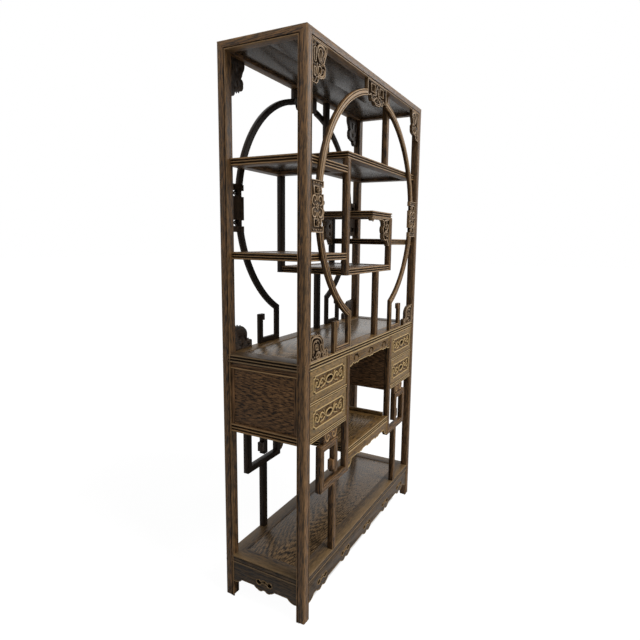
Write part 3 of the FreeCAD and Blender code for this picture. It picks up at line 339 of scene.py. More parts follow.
@dataclass
class Piece:
    """One named piece of the shelf, which stands for its CAD nodes: solids are added, then it is dressed."""

    name: str
    nodes: tuple[str, ...]
    finish: ChickenWingWood
    slot: Slot = Slot.FRAME
    body: str = "shelf_body"

    def __post_init__(self) -> None:
        """Start an empty mesh and the draws that the piece's name seeds."""
        self.chance = random.Random(self.name)
        self.mesh = bmesh.new()

    def add(self, *solids: Solid, flips: Flips = Flips.ONE, ring: Vector | None = None, along: int | None = None,
            rub: Span | None = None) -> "Piece":
        """Add solids and their mirror images.

        Args:
            solids: Meshes in millimetres, used up here.
            flips: Which mirror images are wanted.
            ring: Centre of a bent solid's grain.
            along: Axis of the grain where it isn't the longest side.
            rub: Distances from the XZ plane at which carving is ground and crest, or none to keep the wear
                that the solid has. What lies far behind the ground is neither.

        Returns:
            This piece.
        """
        def carved(place: Vector) -> float:
            """Wear between ground and crest."""
            share = (abs(place.y) - rub[0]) / (rub[1] - rub[0])
            return PLAIN if share < -2 else min(max(share, 0), 1)

        for solid in solids:
            if rub:
                wear(solid, carved)
            elif solid.verts.layers.float.get(RUB) is None:
                wear(solid, lambda place: PLAIN)
            for flip_x, flip_y in flips.value:
                copy = solid.copy()
                bmesh.ops.scale(copy, vec=(flip_x, flip_y, 1), verts=copy.verts)
                if flip_x * flip_y < 0:
                    bmesh.ops.reverse_faces(copy, faces=copy.faces)
                lay_grain(copy, self.chance, ring, along)
                holder = bpy.data.meshes.new("holder")
                copy.to_mesh(holder)
                self.mesh.from_mesh(holder)
                bpy.data.meshes.remove(holder)
                copy.free()
            solid.free()
        return self

    def done(self) -> None:
        """Turn the gathered solids into a finished object on its body."""
        bmesh.ops.scale(self.mesh, vec=(MM, MM, MM), verts=self.mesh.verts)
        data = bpy.data.meshes.new(self.name)
        self.mesh.to_mesh(data)
        self.mesh.free()
        data.materials.append(self.finish.material())
        data.shade_smooth()
        data.set_sharp_from_angle(angle=math.radians(SHARP_SHADE))
        thing = show(self.name, data)
        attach(thing, self.body)
        if self.nodes:
            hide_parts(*self.nodes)
        LOG.info("%s: %d faces", self.name, len(data.polygons))


def bevel(solid: Solid, geom: list, offset: float, segments: int = 2, affect: str = "EDGES",
          clamp: bool = False) -> None:
    """Round the given edges or vertices."""
    bmesh.ops.bevel(solid, geom=geom, offset=offset, offset_type="OFFSET", segments=segments, profile=0.5,
                    affect=affect, material=-1, clamp_overlap=clamp)


def inset(solid: Solid, faces: list[bmesh.types.BMFace], thickness: float, depth: float = 0.0) -> None:
    """Inset a region of faces and push it out by a depth."""
    bmesh.ops.inset_region(solid, faces=faces, thickness=thickness, depth=depth, use_even_offset=True,
                           use_boundary=True)


def sharp_edges(solid: Solid, degrees: float) -> list[bmesh.types.BMEdge]:
    """Edges between two faces that turn by more than an angle."""
    return [e for e in solid.edges if len(e.link_faces) == 2 and e.calc_face_angle() > math.radians(degrees)]


def outline(solid: Solid, corners: list[Corner], origin: Vector, out: Vector, up: Vector) -> bmesh.types.BMFace:
    """Draw a flat face with rounded corners.

    Args:
        solid: Mesh to draw in.
        corners: Place along out, place along up, rounding radius and, if it isn't plain, wear of each
            corner in turn.
        origin: Zero of both places.
        out: Direction of the first place.
        up: Direction of the second place.

    Returns:
        The face.
    """
    layer = rub_layer(solid)
    verts = []
    groups: dict[float, list[bmesh.types.BMVert]] = {}
    for across, rise, radius, *wears in corners:
        vert = solid.verts.new(origin + out * across + up * rise)
        vert[layer] = wears[0] if wears else PLAIN
        verts.append(vert)
        if radius > 0:
            groups.setdefault(radius, []).append(vert)
    solid.faces.new(verts)
    for radius, group in groups.items():
        bevel(solid, group, radius, 3, "VERTICES")
    solid.faces.ensure_lookup_table()
    return solid.faces[0]


def trim(solid: Solid, cuts: Sequence[Plane]) -> None:
    """Saw off what lies in front of each plane and close the cut.

    Args:
        solid: Mesh to cut.
        cuts: A point and a normal for each plane.
    """
    for point, normal in cuts:
        cut = bmesh.ops.bisect_plane(solid, geom=solid.verts[:] + solid.edges[:] + solid.faces[:],
                                     plane_co=point, plane_no=normal.normalized(), clear_outer=True, dist=0.001)
        edges = [item for item in cut["geom_cut"] if isinstance(item, bmesh.types.BMEdge)]
        if edges:
            bmesh.ops.edgeloop_fill(solid, edges=edges)
    bmesh.ops.recalc_face_normals(solid, faces=solid.faces)


def bar(corners: list[Corner], start: Vector, end: Vector, out: Vector, up: Vector,
        cuts: Sequence[Plane] = ()) -> Solid:
    """Run a moulded profile from one point to another.

    Args:
        corners: Profile corners as outline takes them.
        start: Where the profile's zero starts.
        end: Where it ends.
        out: Direction of the profile's first place.
        up: Direction of its second place.
        cuts: Planes that saw off the ends.

    Returns:
        The bar.
    """
    solid = bmesh.new()
    face = outline(solid, corners, start, out, up)
    grown = bmesh.ops.extrude_face_region(solid, geom=[face])["geom"]
    bmesh.ops.translate(solid, verts=[item for item in grown if isinstance(item, bmesh.types.BMVert)],
                        vec=end - start)
    bmesh.ops.recalc_face_normals(solid, faces=solid.faces)
    trim(solid, cuts)
    return solid


def block(x: Span, y: Span, z: Span, ease: float = 0.8) -> Solid:
    """Board with eased edges between three pairs of limits."""
    solid = bmesh.new()
    bmesh.ops.create_cube(solid, size=1)
    bmesh.ops.scale(solid, vec=[abs(high - low) for low, high in (x, y, z)], verts=solid.verts)
    bmesh.ops.translate(solid, vec=[sum(span) / 2 for span in (x, y, z)], verts=solid.verts)
    bevel(solid, solid.edges[:], ease)
    return solid


def reeded(thickness: float, reach: float, reeds: int, depth: float = 4.2, gap: float = 4.8) -> list[Corner]:
    """Outer edge of a board with half-round reeds of equal height.

    Args:
        thickness: Height of the edge.
        reach: Place of the reeds' crests.
        reeds: How many reeds there are.
        depth: How deep the quirks between them are.
        gap: How wide the quirks are.

    Returns:
        Corners from the bottom up.
    """
    corners = []
    pitch = thickness / reeds
    for count in range(reeds):
        low = pitch * count + (gap / 2 if count > 0 else 0)
        high = pitch * (count + 1) - (gap / 2 if count < reeds - 1 else 0)
        curve = (high - low) * 0.42
        reed = [(reach, low, curve, 0.45), (reach, (low + high) / 2, 0, 0.95), (reach, high, curve, 0.45)]
        before = [(reach - depth, low, *DEEP)] if count > 0 else []
        after = [(reach - depth, high, *DEEP)] if count < reeds - 1 else []
        corners += before + reed + after
    return corners


def two_beads(thickness: float, reach: float) -> list[Corner]:
    """Outer edge of a board with a bead at its bottom and top and a shallow flat between, from the bottom up."""
    bead, quirk, depth = 5.0, 2.4, 2.6
    half = [(reach, 0, 2.2, 0.75), (reach, bead, 2.2, 0.75), (reach - depth, bead, *DEEP),
            (reach - depth, bead + quirk, *DEEP), (reach - 1.0, bead + quirk, 0.8)]
    return half + [(c[0], thickness - c[1]) + c[2:] for c in reversed(half)]


def lattice_bar(half: float, deep: float, ease: float, bead: list[Corner]) -> list[Corner]:
    """Bar profile across its width and out from its back, whose right bead is mirrored.

    Args:
        half: Half of the bar's width.
        deep: Depth of the bar.
        ease: Rounding of its back corners, darkened as painted shade.
        bead: Corners of the right half of its face.

    Returns:
        The whole profile.
    """
    # Low wear at the back corners and halfway up the sides is painted shade: the sides darken toward the back
    return ([(-half, 0, ease, 0.1), (half, 0, ease, 0.1), (half, deep * 0.5, 0, 0.3)] + bead
            + [(-c[0],) + c[1:] for c in reversed(bead)] + [(-half, deep * 0.5, 0, 0.3)])


def beaded_square(size: float) -> list[Corner]:
    """Square bar with a bead along both edges of its face."""
    half, bead, quirk, depth, edge_wear = size / 2, 4.0, 6.4, 2.2, 0.64
    return lattice_bar(half, size, 1.5, [
        (half, size, 1.7, edge_wear), (half - bead, size, 1.3, edge_wear), (half - bead, size - depth, *DEEP),
        (half - quirk, size - depth, *DEEP), (half - quirk, size, 1.0)])


def soften(solid: Solid, ease: float) -> None:
    """Round the sharp edges of a mesh."""
    bevel(solid, sharp_edges(solid, SHARP_EDGE), ease, clamp=True)


def merged_copy(node: str, ease: float = 0.0) -> Solid:
    """Copy a CAD node in millimetres, with its loose triangles joined and its edges eased.

    Args:
        node: Name of the CAD node.
        ease: Rounding of the sharp edges, or zero for none.

    Returns:
        The copy.
    """
    solid = bmesh.new()
    solid.from_mesh(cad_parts[node].data)
    bmesh.ops.scale(solid, vec=(1 / MM, 1 / MM, 1 / MM), verts=solid.verts)
    bmesh.ops.remove_doubles(solid, verts=solid.verts, dist=0.02)
    bmesh.ops.dissolve_limit(solid, angle_limit=math.radians(1), verts=solid.verts, edges=solid.edges)
    if ease > 0:
        soften(solid, ease)
    return solid


def strand(points: list[Vector], radii: list[float], closed: bool = False, flat: float = 1.0,
           smooth: bool = True, amount: float = STRAND) -> Solid:
    """Carve a round strand along a line in a plane facing Y.

    Args:
        points: Control points of the line.
        radii: Radius at each point.
        closed: Whether the line runs back to its start.
        flat: Depth of the strand as a share of its width.
        smooth: Whether the line is rounded off between its points.
        amount: Wear of the strand.

    Returns:
        The strand.
    """
    curve = bpy.data.curves.new("strand", "CURVE")
    curve.dimensions = "3D"
    curve.bevel_depth = 1.0
    curve.bevel_resolution = 2
    curve.resolution_u = 4
    curve.use_fill_caps = not closed
    spline = curve.splines.new("NURBS" if smooth else "POLY")
    spline.points.add(len(points) - 1)
    for place, point, radius in zip(spline.points, points, radii):
        place.co = (*point, 1)
        place.radius = radius
    if smooth:
        spline.order_u = 3
        spline.use_endpoint_u = not closed
    spline.use_cyclic_u = closed
    holder = bpy.data.objects.new("strand", curve)
    mesh = bpy.data.meshes.new_from_object(holder)
    solid = bmesh.new()
    solid.from_mesh(mesh)
    bpy.data.objects.remove(holder)
    bpy.data.curves.remove(curve)
    bpy.data.meshes.remove(mesh)
    bmesh.ops.remove_doubles(solid, verts=solid.verts, dist=0.001)
    bmesh.ops.scale(solid, verts=solid.verts, vec=(1, flat, 1), space=Matrix.Translation(-Y * points[0].y))
    bmesh.ops.recalc_face_normals(solid, faces=solid.faces)
    return wear(solid, lambda place: amount)


def scroll(middle: Vector, stroke: Stroke, across: float = 1, up: float = 1, flat: float = 1.0,
           thick: float = 1.0) -> Solid:
    """Carve a strand along a stroke.

    Args:
        middle: Zero of the stroke's places.
        stroke: Place across, place up and radius of each control point.
        across: Scale and sign of the places across.
        up: Scale and sign of the places up.
        flat: Depth of the strand as a share of its width.
        thick: Scale of the radii.

    Returns:
        The strand.
    """
    return strand([middle + Vector((a * across, 0, b * up)) for a, b, _ in stroke], [r * thick for _, _, r in stroke],
                  flat=flat)


def knob(centre: Vector, size: Place, turn: float = 0.0) -> Solid:
    """Carved boss: a squashed ball of a full size, turned in the XZ plane by degrees."""
    solid = bmesh.new()
    bmesh.ops.create_uvsphere(solid, u_segments=12, v_segments=8, radius=0.5)
    bmesh.ops.scale(solid, vec=size, verts=solid.verts)
    bmesh.ops.rotate(solid, verts=solid.verts, cent=(0, 0, 0), matrix=Matrix.Rotation(math.radians(turn), 3, "Y"))
    bmesh.ops.translate(solid, vec=centre, verts=solid.verts)
    return solid


def flower(centre: Vector, petals: int, reach: float, depth: float) -> list[Solid]:
    """Carved blossom facing Y: a ring of petals around a boss.

    Args:
        centre: Middle of the blossom.
        petals: How many petals it has.
        reach: Distance from the middle to a petal's tip.
        depth: Thickness of the petals.

    Returns:
        The boss and the petals.
    """
    solids = [knob(centre, (reach * 0.55, depth * 1.15, reach * 0.55))]
    for count in range(petals):
        turn = 360 / petals * count + 90
        angle = math.radians(turn)
        place = centre + Vector((math.cos(angle), 0, math.sin(angle))) * (reach * 0.62)
        solids.append(knob(place, (reach * 0.78, depth, reach * 0.55), -turn))
    return solids


def run_of_bars(path: list[Vector], corners: list[Corner], width: float, back: float) -> list[Solid]:
    """Bars along a path in a plane facing Y, mitred where it turns.

    Args:
        path: Turning points of the centre line.
        corners: Profile across the bar and out from its back.
        width: Width of the bar.
        back: Place of the bars' back along Y.

    Returns:
        One bar for each stretch.
    """
    runs = [(end - start).normalized() for start, end in zip(path, path[1:])]
    solids = []
    for index, run in enumerate(runs):
        start, end = path[index].copy(), path[index + 1].copy()
        cuts = []
        if index > 0:
            cuts.append((start.copy(), -(runs[index - 1] + run)))
            start -= run * width
        if index < len(runs) - 1:
            cuts.append((end.copy(), runs[index + 1] + run))
            end += run * width
        across = Vector((run.z, 0, -run.x))
        solids.append(bar(corners, start + Y * back, end + Y * back, across, Y, cuts))
    return solids


def faces_toward(solid: Solid, out: Vector) -> list[bmesh.types.BMFace]:
    """Faces whose normal points along a direction."""
    return [face for face in solid.faces if face.normal.dot(out) > 0.99]


def rims(solid: Solid, out: Vector) -> list[list[Vector]]:
    """Trace the outline and the piercings of a plate's face.

    Args:
        solid: The plate.
        out: Direction that the face looks in.

    Returns:
        The places along each closed line, the outline before the piercings.
    """
    faces = faces_toward(solid, out)
    reach = max(face.calc_center_median().dot(out) for face in faces)
    outer = {face for face in faces if face.calc_center_median().dot(out) > reach - 1}
    left = {edge for face in outer for edge in face.edges if len(outer.intersection(edge.link_faces)) == 1}
    lines = []
    while left:
        edge = min(left, key=lambda item: sorted(spot(vert) for vert in item.verts))
        left.discard(edge)
        first, last = sorted(edge.verts, key=spot)
        line = [first.co.copy()]
        while last is not first:
            line.append(last.co.copy())
            ahead = [edge for edge in last.link_edges if edge in left]
            if not ahead:
                break
            left.discard(ahead[0])
            last = ahead[0].other_vert(last)
        lines.append(line)
    return sorted(lines, key=lambda line: -round(sum((b - a).length for a, b in zip(line, line[1:] + line[:1]))))


def sink_ground(solid: Solid, out: Vector, rim: float, depth: float, lift: float = 0.0, least: float = 0.0) -> None:
    """Carve down a plate's face inside a rim that follows its outline.

    Args:
        solid: The plate.
        out: Direction that the face looks in.
        rim: Width of the rim that stays.
        depth: How far the ground is sunk.
        lift: How far the whole face is raised first.
        least: Least distance from the XZ plane of a face that is carved.
    """
    faces = [face for face in faces_toward(solid, out) if abs(face.calc_center_median().y) > least]
    bmesh.ops.translate(solid, verts=list({vert for face in faces for vert in face.verts}), vec=out * lift)
    inset(solid, faces, rim)
    inset(solid, faces, 0.7, -depth)


@dataclass
class OuterFrame:
    """Four corner posts, the mitred top frame and the panel in it."""

    half_width: float = 540.0
    half_depth: float = 175.0
    height: float = 2000.0
    post: float = 34.0
    rail_height: float = 30.0
    bead: float = 4.0
    quirk: float = 3.0
    quirk_depth: float = 2.4
    arris: float = 5.0
    foot_chamfer: float = 5.0
    panel_drop: float = 10.0
    panel_thickness: float = 10.0
    edge_wear: float = 0.62
    rail_wear: float = 0.72

    def post_profile(self) -> list[Corner]:
        """Profile of the right back post in X and Y."""
        low_x, high_x = self.half_width - self.post, self.half_width
        low_y, high_y = self.half_depth - self.post, self.half_depth
        inner, outer, depth, worn = self.bead, self.bead + self.quirk, self.quirk_depth, self.edge_wear
        return [(low_x, low_y, 1.5), (high_x, low_y, 1.8, worn), (high_x, low_y + inner, 1.4, worn),
                (high_x - depth, low_y + inner, *DEEP), (high_x - depth, low_y + outer, *DEEP),
                (high_x, low_y + outer, 1.0), (high_x, high_y, self.arris, worn), (low_x + outer, high_y, 1.0),
                (low_x + outer, high_y - depth, *DEEP), (low_x + inner, high_y - depth, *DEEP),
                (low_x + inner, high_y, 1.4, worn), (low_x, high_y, 1.8, worn)]

    def rail_profile(self) -> list[Corner]:
        """Profile of a top rail: out from its inner face, up from its underside."""
        inner, outer, deep = self.bead, self.bead + self.quirk, self.post - self.quirk_depth
        return [(0, 0, 1.5), (self.post, 0, 1.8, self.rail_wear), (self.post, inner, 1.4, self.rail_wear),
                (deep, inner, *DEEP), (deep, outer, *DEEP), (self.post, outer, 1.0),
                (self.post, self.rail_height, 3.0, self.edge_wear), (0, self.rail_height, 2.0)]

    def rail(self, along: Vector, out: Vector) -> Solid:
        """Top rail at the back or the right, mitred with the posts and with its neighbours.

        Args:
            along: Direction along the rail.
            out: Direction that it looks in.

        Returns:
            The rail.
        """
        top = Vector((self.half_width, self.half_depth, self.height))
        cuts = [(top, along * self.rail_height - Z * self.post), (top, along - out)]
        cuts += [(point.reflect(along), normal.reflect(along)) for point, normal in cuts]
        base = out * (top.dot(out) - self.post) + Z * (self.height - self.rail_height)
        reach = along * top.dot(along)
        return bar(self.rail_profile(), base - reach, base + reach, out, Z, cuts)

    def build(self) -> None:
        """Build the posts, the rails and the panel."""
        top = Vector((self.half_width, self.half_depth, self.height))
        post = bar(self.post_profile(), Z * 0, Z * self.height, X, Y,
                   [(top, Z * self.post - axis * self.rail_height) for axis in (X, Y)])
        foot = [e for e in post.edges if all(abs(v.co.z) < 0.01 for v in e.verts)]
        bevel(post, foot, self.foot_chamfer, 1)
        for place, flips in CORNERS.items():
            Piece("post_" + place, ("corner_post_" + place,), FRAME_WOOD).add(*flipped([post.copy()], *flips)).done()
        post.free()
        for side, sign in SIDES.items():
            rail = flipped([self.rail(X, Y)], y=sign)
            Piece("top_rail_" + side, ("top_%s_rail" % side,), FRAME_WOOD).add(*rail).done()
        Piece("top_rails_end", ("top_end_rails",), FRAME_WOOD).add(self.rail(Y, X), flips=Flips.LEFT_RIGHT).done()
        inner_x, inner_y = self.half_width - self.post, self.half_depth - self.post
        high = self.height - self.panel_drop
        board = block((-inner_x, inner_x), (0, inner_y), (high - self.panel_thickness, high))
        Piece("top_board", ("top_panel",), PANEL_WOOD, Slot.PANEL).add(board, flips=Flips.FRONT_BACK).done()


@dataclass
class FramedBoard:
    """Mitred frame with a reeded edge around a set-in panel."""

    name: str
    x: Span
    y: Span
    top: float
    thickness: float = 26.0
    rail: float = 44.0
    # Reeds on the edge, or none for two beads
    reeds: int = 3
    panel_drop: float = 2.0
    panel_thickness: float = 10.0
    nodes: tuple[str, ...] = ()
    finish: ChickenWingWood = PANEL_WOOD
    rails_finish: ChickenWingWood = FRAME_WOOD
    # End rails default to the darker finish, painted shade on the ends
    ends_finish: ChickenWingWood = END_AND_BASE_SHADE_WOOD

    def profile(self) -> list[Corner]:
        """Rail profile: out from its inner edge, up from its underside."""
        edge = reeded(self.thickness, self.rail, self.reeds) if self.reeds else two_beads(self.thickness, self.rail)
        return [(0, 0, 1.0)] + edge + [(0, self.thickness, 1.5)]

    def rails(self) -> list[Solid]:
        """Front, back, left and right rails with mitred ends."""
        (left, right), (front, back) = self.x, self.y
        corners = [Vector((x, y, 0)) for x, y in ((left, front), (right, front), (right, back), (left, back))]
        solids = []
        for index, out in ((0, -Y), (2, Y), (3, -X), (1, X)):
            start, end = corners[index], corners[(index + 1) % 4]
            run = (end - start).normalized()
            base = Z * (self.top - self.thickness) - out * self.rail
            solids.append(bar(self.profile(), start + base, end + base, out, Z,
                              [(start, -run - out), (end, run - out)]))
        return solids

    def build(self) -> None:
        """Build the rails, and the panel as a piece of its own finish."""
        solids = self.rails()
        groups = [("_frame", self.name, self.rails_finish, solids)]
        if self.nodes:
            groups = [("_rail_front", self.nodes[0], self.rails_finish, solids[:1]),
                      ("_rail_back", self.nodes[1], self.rails_finish, solids[1:2]),
                      ("_rails_end", self.nodes[2], self.ends_finish, solids[2:])]
        for suffix, node, finish, members in groups:
            Piece(self.name + suffix, (node,), finish).add(*members).done()
        high = self.top - self.panel_drop
        panel = block(*((low + self.rail, end - self.rail) for low, end in (self.x, self.y)),
                      (high - self.panel_thickness, high), 0.6)
        Piece(self.name + "_board", self.nodes[3:], self.finish, Slot.PANEL).add(panel).done()


@dataclass
class MoonRing:
    """Front and back moon rings: bent arcs, straight legs, foot bars and hooked free uprights."""

    centre_z: float = 1478.0
    outer_radius: float = 461.0
    width: float = 23.0
    front: float = 175.0
    back: float = 158.0
    leg_width: float = 20.0
    leg_x: float = 213.0
    upright_x: float = 325.0
    upright_height: float = 116.0
    hook_reach: float = 12.0
    hook_height: float = 25.0
    desk_top: float = 950.0
    crown_half: float = 92.0
    medallion: Span = (1382.0, 1550.0)
    # Side bead of the face: its width, the quirk's inner edge and how deep both lie
    bead: float = 4.0
    quirk: float = 6.2
    bead_drop: float = 1.0
    quirk_drop: float = 3.4
    # Wear of the crown above the medallions, raised as a painted highlight of the light from above, and elsewhere
    upper_crown_highlight: float = 0.8
    crown_wear: float = 0.52
    # Radians that an arc runs past its cuts
    overrun: float = 0.1
    steps: int = 28

    def profile(self, width: float, crown: float) -> list[Corner]:
        """Lattice bar profile across its width and out from its back: a round crown between two side beads."""
        half, deep = width / 2, self.front - self.back
        bead, quirk, face, ground = half - self.bead, half - self.quirk, deep - self.bead_drop, deep - self.quirk_drop
        return lattice_bar(half, deep, 1.0, [(half, face, 1.6, STRAND), (bead, face, 1.2, STRAND),
                                             (bead, ground, *DEEP), (quirk, ground, *DEEP), (quirk, deep, 2.4, crown)])

    def kink(self) -> Plane:
        """Point where the ring turns into its right leg, and the ring's direction there."""
        radius = self.outer_radius - self.width / 2
        place = Vector((self.leg_x, 0, self.centre_z - math.sqrt(radius ** 2 - self.leg_x ** 2)))
        ray = (place - Z * self.centre_z).normalized()
        return place, Vector((-ray.z, 0, ray.x))

    def arcs(self) -> list[Solid]:
        """Right arcs above and below the side medallion."""
        radius = self.outer_radius - self.width / 2
        centre = Vector((0, self.back, self.centre_z))
        kink, run = self.kink()
        low, high = self.medallion
        turns = [math.asin((level - self.centre_z) / radius) for level in (kink.z, low, high)]
        above = [(Z * high, -Z), (X * self.crown_half, -X)]
        below = [(Z * low, Z), (kink, -run - Z)]
        solids = []
        # The arcs above the medallions take the raised crown wear, a painted highlight
        for first, last, crown, cuts in ((turns[2], math.acos(self.crown_half / radius), self.upper_crown_highlight, above),
                                         (turns[0], turns[1], self.crown_wear, below)):
            start, end = first - self.overrun, last + self.overrun
            solid = bmesh.new()
            ray = Vector((math.cos(start), 0, math.sin(start)))
            outline(solid, self.profile(self.width, crown), centre + ray * radius, ray, Y)
            bmesh.ops.spin(solid, geom=solid.verts[:] + solid.edges[:] + solid.faces[:], cent=centre, axis=-Y,
                           angle=end - start, steps=self.steps, use_duplicate=False)
            bmesh.ops.recalc_face_normals(solid, faces=solid.faces)
            trim(solid, cuts)
            solids.append(solid)
        return solids

    def legs(self) -> list[Solid]:
        """Right leg, foot bar and free upright with its hook."""
        kink, run = self.kink()
        foot, top = self.desk_top + self.leg_width / 2, self.desk_top + self.upright_height
        path = [kink + run * 50, kink, Vector((self.leg_x, 0, foot)), Vector((self.upright_x, 0, foot)),
                Vector((self.upright_x, 0, top))]
        solids = run_of_bars(path, self.profile(self.leg_width, self.crown_wear), self.leg_width, self.back)[1:]
        inner = self.upright_x - self.leg_width / 2
        return solids + [block((inner - self.hook_reach, inner + 1), (self.back, self.front - 0.8),
                               (top - self.hook_height, top), 1.5)]

    def build(self) -> None:
        """Build both rings."""
        for side, sign in SIDES.items():
            piece = Piece("moon_ring_of_" + side, ("moon_ring_" + side,), FINISHES[sign])
            piece.add(*flipped(self.arcs(), y=sign), flips=Flips.LEFT_RIGHT, ring=Z * self.centre_z)
            piece.add(*flipped(self.legs(), y=sign), flips=Flips.LEFT_RIGHT).done()


@dataclass
class InnerPosts:
    """Square posts behind the lattice that carry the stepped shelves."""

    size: float = 24.0
    outer: float = 158.0
    # Middle, foot and top of each post
    places: tuple[Place, ...] = (
        (-206.0, 1226.0, 1658.0), (157.0, 1684.0, 1970.0), (225.0, 1226.0, 1457.0), (87.0, 950.0, 1226.0))

    def build(self) -> None:
        """Build the front and back posts."""
        for side, sign in SIDES.items():
            piece = Piece("inner_posts_" + side, ("shelf_posts_" + side,), FINISHES[sign])
            for centre, low, high in self.places:
                foot = Vector((centre, (self.outer - self.size) * sign, low))
                piece.add(bar(beaded_square(self.size), foot, foot + Z * (high - low), X, Y * sign))
            piece.done()


@dataclass
class LowerFrets:
    """Divider posts, square-bar meanders, their support posts and carved stubs."""

    bar_size: float = 24.0
    front: float = 175.0
    divider_x: float = 219.0
    desk_bottom: float = 920.0
    low: float = 445.0
    high: float = 622.0
    reach: float = 197.0
    inner_reach: float = 93.0
    tail_low: float = 487.0
    hook_reach: float = 14.0
    hook: Span = (14.0, 52.0)
    support_reach: float = 98.0
    base_top: float = 170.0
    stub_width: float = 100.0
    stub_high: float = 662.0
    stub_margin: float = 6.0
    # Control points of one scroll of the stub: across, up and radius
    stub_scroll: Stroke = ((0, 34, 3.2), (4, 10, 3.6), (20, 6, 3.4), (32, 14, 3), (30, 27, 2.6), (18, 29, 2.2),
                           (16, 20, 1.8))

    def bars(self) -> list[Solid]:
        """Divider, three meander bars and the hooked tail at the right back."""
        half = self.bar_size / 2
        outer, inner = self.divider_x + self.reach, self.divider_x + self.inner_reach
        path = [Vector((x, 0, z)) for x, z in (
            (self.divider_x, self.desk_bottom), (self.divider_x, self.low + half), (outer, self.low + half),
            (outer, self.high - half), (inner, self.high - half), (inner, self.tail_low))]
        return run_of_bars(path, beaded_square(self.bar_size), self.bar_size, self.front - self.bar_size)

    def stub(self) -> list[Solid]:
        """Carved block between the fret and the cabinet, with two scrolls on its face."""
        inner = self.divider_x + self.inner_reach - self.bar_size / 2
        outer, face = inner + self.stub_width, self.front - 5
        solids = [block((inner, outer), (self.front - self.bar_size, face), (self.high, self.stub_high), 2.0)]
        for start, turn in ((inner + self.stub_margin, 1), (outer - self.stub_margin, -1)):
            place = Vector((start, face, self.high))
            solids += [scroll(place, self.stub_scroll, turn),
                       knob(place + Vector((38 * turn, 0, 32)), (13, 5, 8), 30 * turn)]
        return solids + [knob(Vector(((inner + outer) / 2, face, self.high + 12)), (11, 5, 14))]

    def build(self) -> None:
        """Build dividers, frets, supports and stubs, front and back."""
        back = self.front - self.bar_size
        edge = self.divider_x + self.inner_reach + self.bar_size / 2
        support = Vector((self.divider_x + self.support_reach, back - 1, 0))
        for side, sign in SIDES.items():
            hook = block((edge - 1, edge + self.hook_reach), (back, self.front - 0.8),
                         [self.tail_low + rise for rise in self.hook], 1.5)
            post = bar(beaded_square(self.bar_size), support + Z * self.base_top, support + Z * self.low, X, Y)
            divider, *frets = flipped(self.bars() + [hook, post] + self.stub(), y=sign)
            for name, node, solids in (("dividers_", "divider_posts_", [divider]), ("fretwork_", "frets_", frets)):
                Piece(name + side, (node + side,), FINISHES[sign]).add(*solids, flips=Flips.LEFT_RIGHT).done()


@dataclass
class Carving:
    """Openwork plates with a rim, a sunk ground and carved scrolls, in the front and back lattice.

    Strokes are control points given as percent across, percent down and radius in millimetres; bosses are
    percent across, percent down, width, height and turn; blossoms are percent across, percent down and reach.
    """

    node: str
    corner: Span
    size: Span
    face: float = 173.0
    rim: float = 1.6
    sink: float = 4.5
    lift: float = 1.0
    ease: float = 0.6
    tip_spacing: float = 11.5
    tip: float = 8.0
    tip_thickness: float = 5.5
    tip_turn: float = 25.0
    # Least width of a plate that gets leaf tips, and the shares across and down where they start
    tip_width: float = 60.0
    free: Span = (0.07, 0.06)
    strokes: tuple[Stroke, ...] = ()
    bosses: tuple[Corner, ...] = ()
    blossoms: tuple[Place, ...] = ()
    flips: Flips = Flips.LEFT_RIGHT

    def rub(self) -> Span:
        """Distances from the XZ plane of the ground and of the crests."""
        return self.face + self.lift - self.sink + 1.0, self.face + self.lift + 0.2

    def at(self, across: float, down: float) -> Vector:
        """Place on the ground of the carving."""
        return Vector((self.corner[0] + self.size[0] * (across / 100), self.face + self.lift - self.sink * 0.75,
                       self.corner[1] + self.size[1] * (down / 100)))

    def relief(self) -> list[Solid]:
        """Scrolls, bosses and blossoms of the right back plate."""
        solids = [scroll(self.at(0, 0), stroke, self.size[0] / 100, self.size[1] / 100, 0.82, 1.15)
                  for stroke in self.strokes]
        for across, down, width, height, turn in self.bosses:
            solids.append(knob(self.at(across, down), (width, self.sink * 1.45, height), turn))
        for across, down, reach in self.blossoms:
            solids += flower(self.at(across, down), 5, reach, self.sink * 1.4)
        return solids

    def tips(self, line: list[Vector], out: Vector) -> list[Solid]:
        """Leaf tips along the free part of a plate's outline.

        Args:
            line: The outline.
            out: Direction that the plate's face looks in.

        Returns:
            The tips.
        """
        turning = sum(a.x * b.z - b.x * a.z for a, b in zip(line, line[1:] + line[:1]))
        solids = []
        gone = 0.0
        for before, place, after in zip(line[-1:] + line[:-1], line, line[1:] + line[:1]):
            gone += (place - before).length
            across = (abs(place.x) - self.corner[0]) / self.size[0]
            down = (place.z - self.corner[1]) / self.size[1]
            if gone < self.tip_spacing or across < self.free[0] or down < self.free[1]:
                continue
            gone = 0.0
            run = (after - before).normalized() * (1 if turning > 0 else -1)
            away = Vector((run.z, 0, -run.x))
            solids.append(knob(place + away * (self.tip * 0.08) - out * 2.4,
                               (self.tip, self.tip_thickness, self.tip * 0.62),
                               self.tip_turn - math.degrees(math.atan2(away.z, away.x))))
        return solids

    def build(self) -> None:
        """Build the front and back plates with their carving."""
        plates = 2 if self.corner[0] > 100 else 1
        for side, sign in SIDES.items():
            node, out = self.node + "_" + side, Y * sign
            piece = Piece(node + "_carved", (node,), CARVED_FINISHES[sign], Slot.CARVED)
            plate = merged_copy(node, self.ease)
            for line in rims(plate, out)[:plates]:
                reaches = [abs(place.x) for place in line]
                if max(reaches) - min(reaches) > self.tip_width:
                    piece.add(*self.tips(line, out), along=2, rub=self.rub())
            sink_ground(plate, out, self.rim, self.sink, self.lift)
            piece.add(plate, rub=self.rub())
            piece.add(*flipped(self.relief(), y=sign), flips=self.flips, along=2, rub=self.rub()).done()


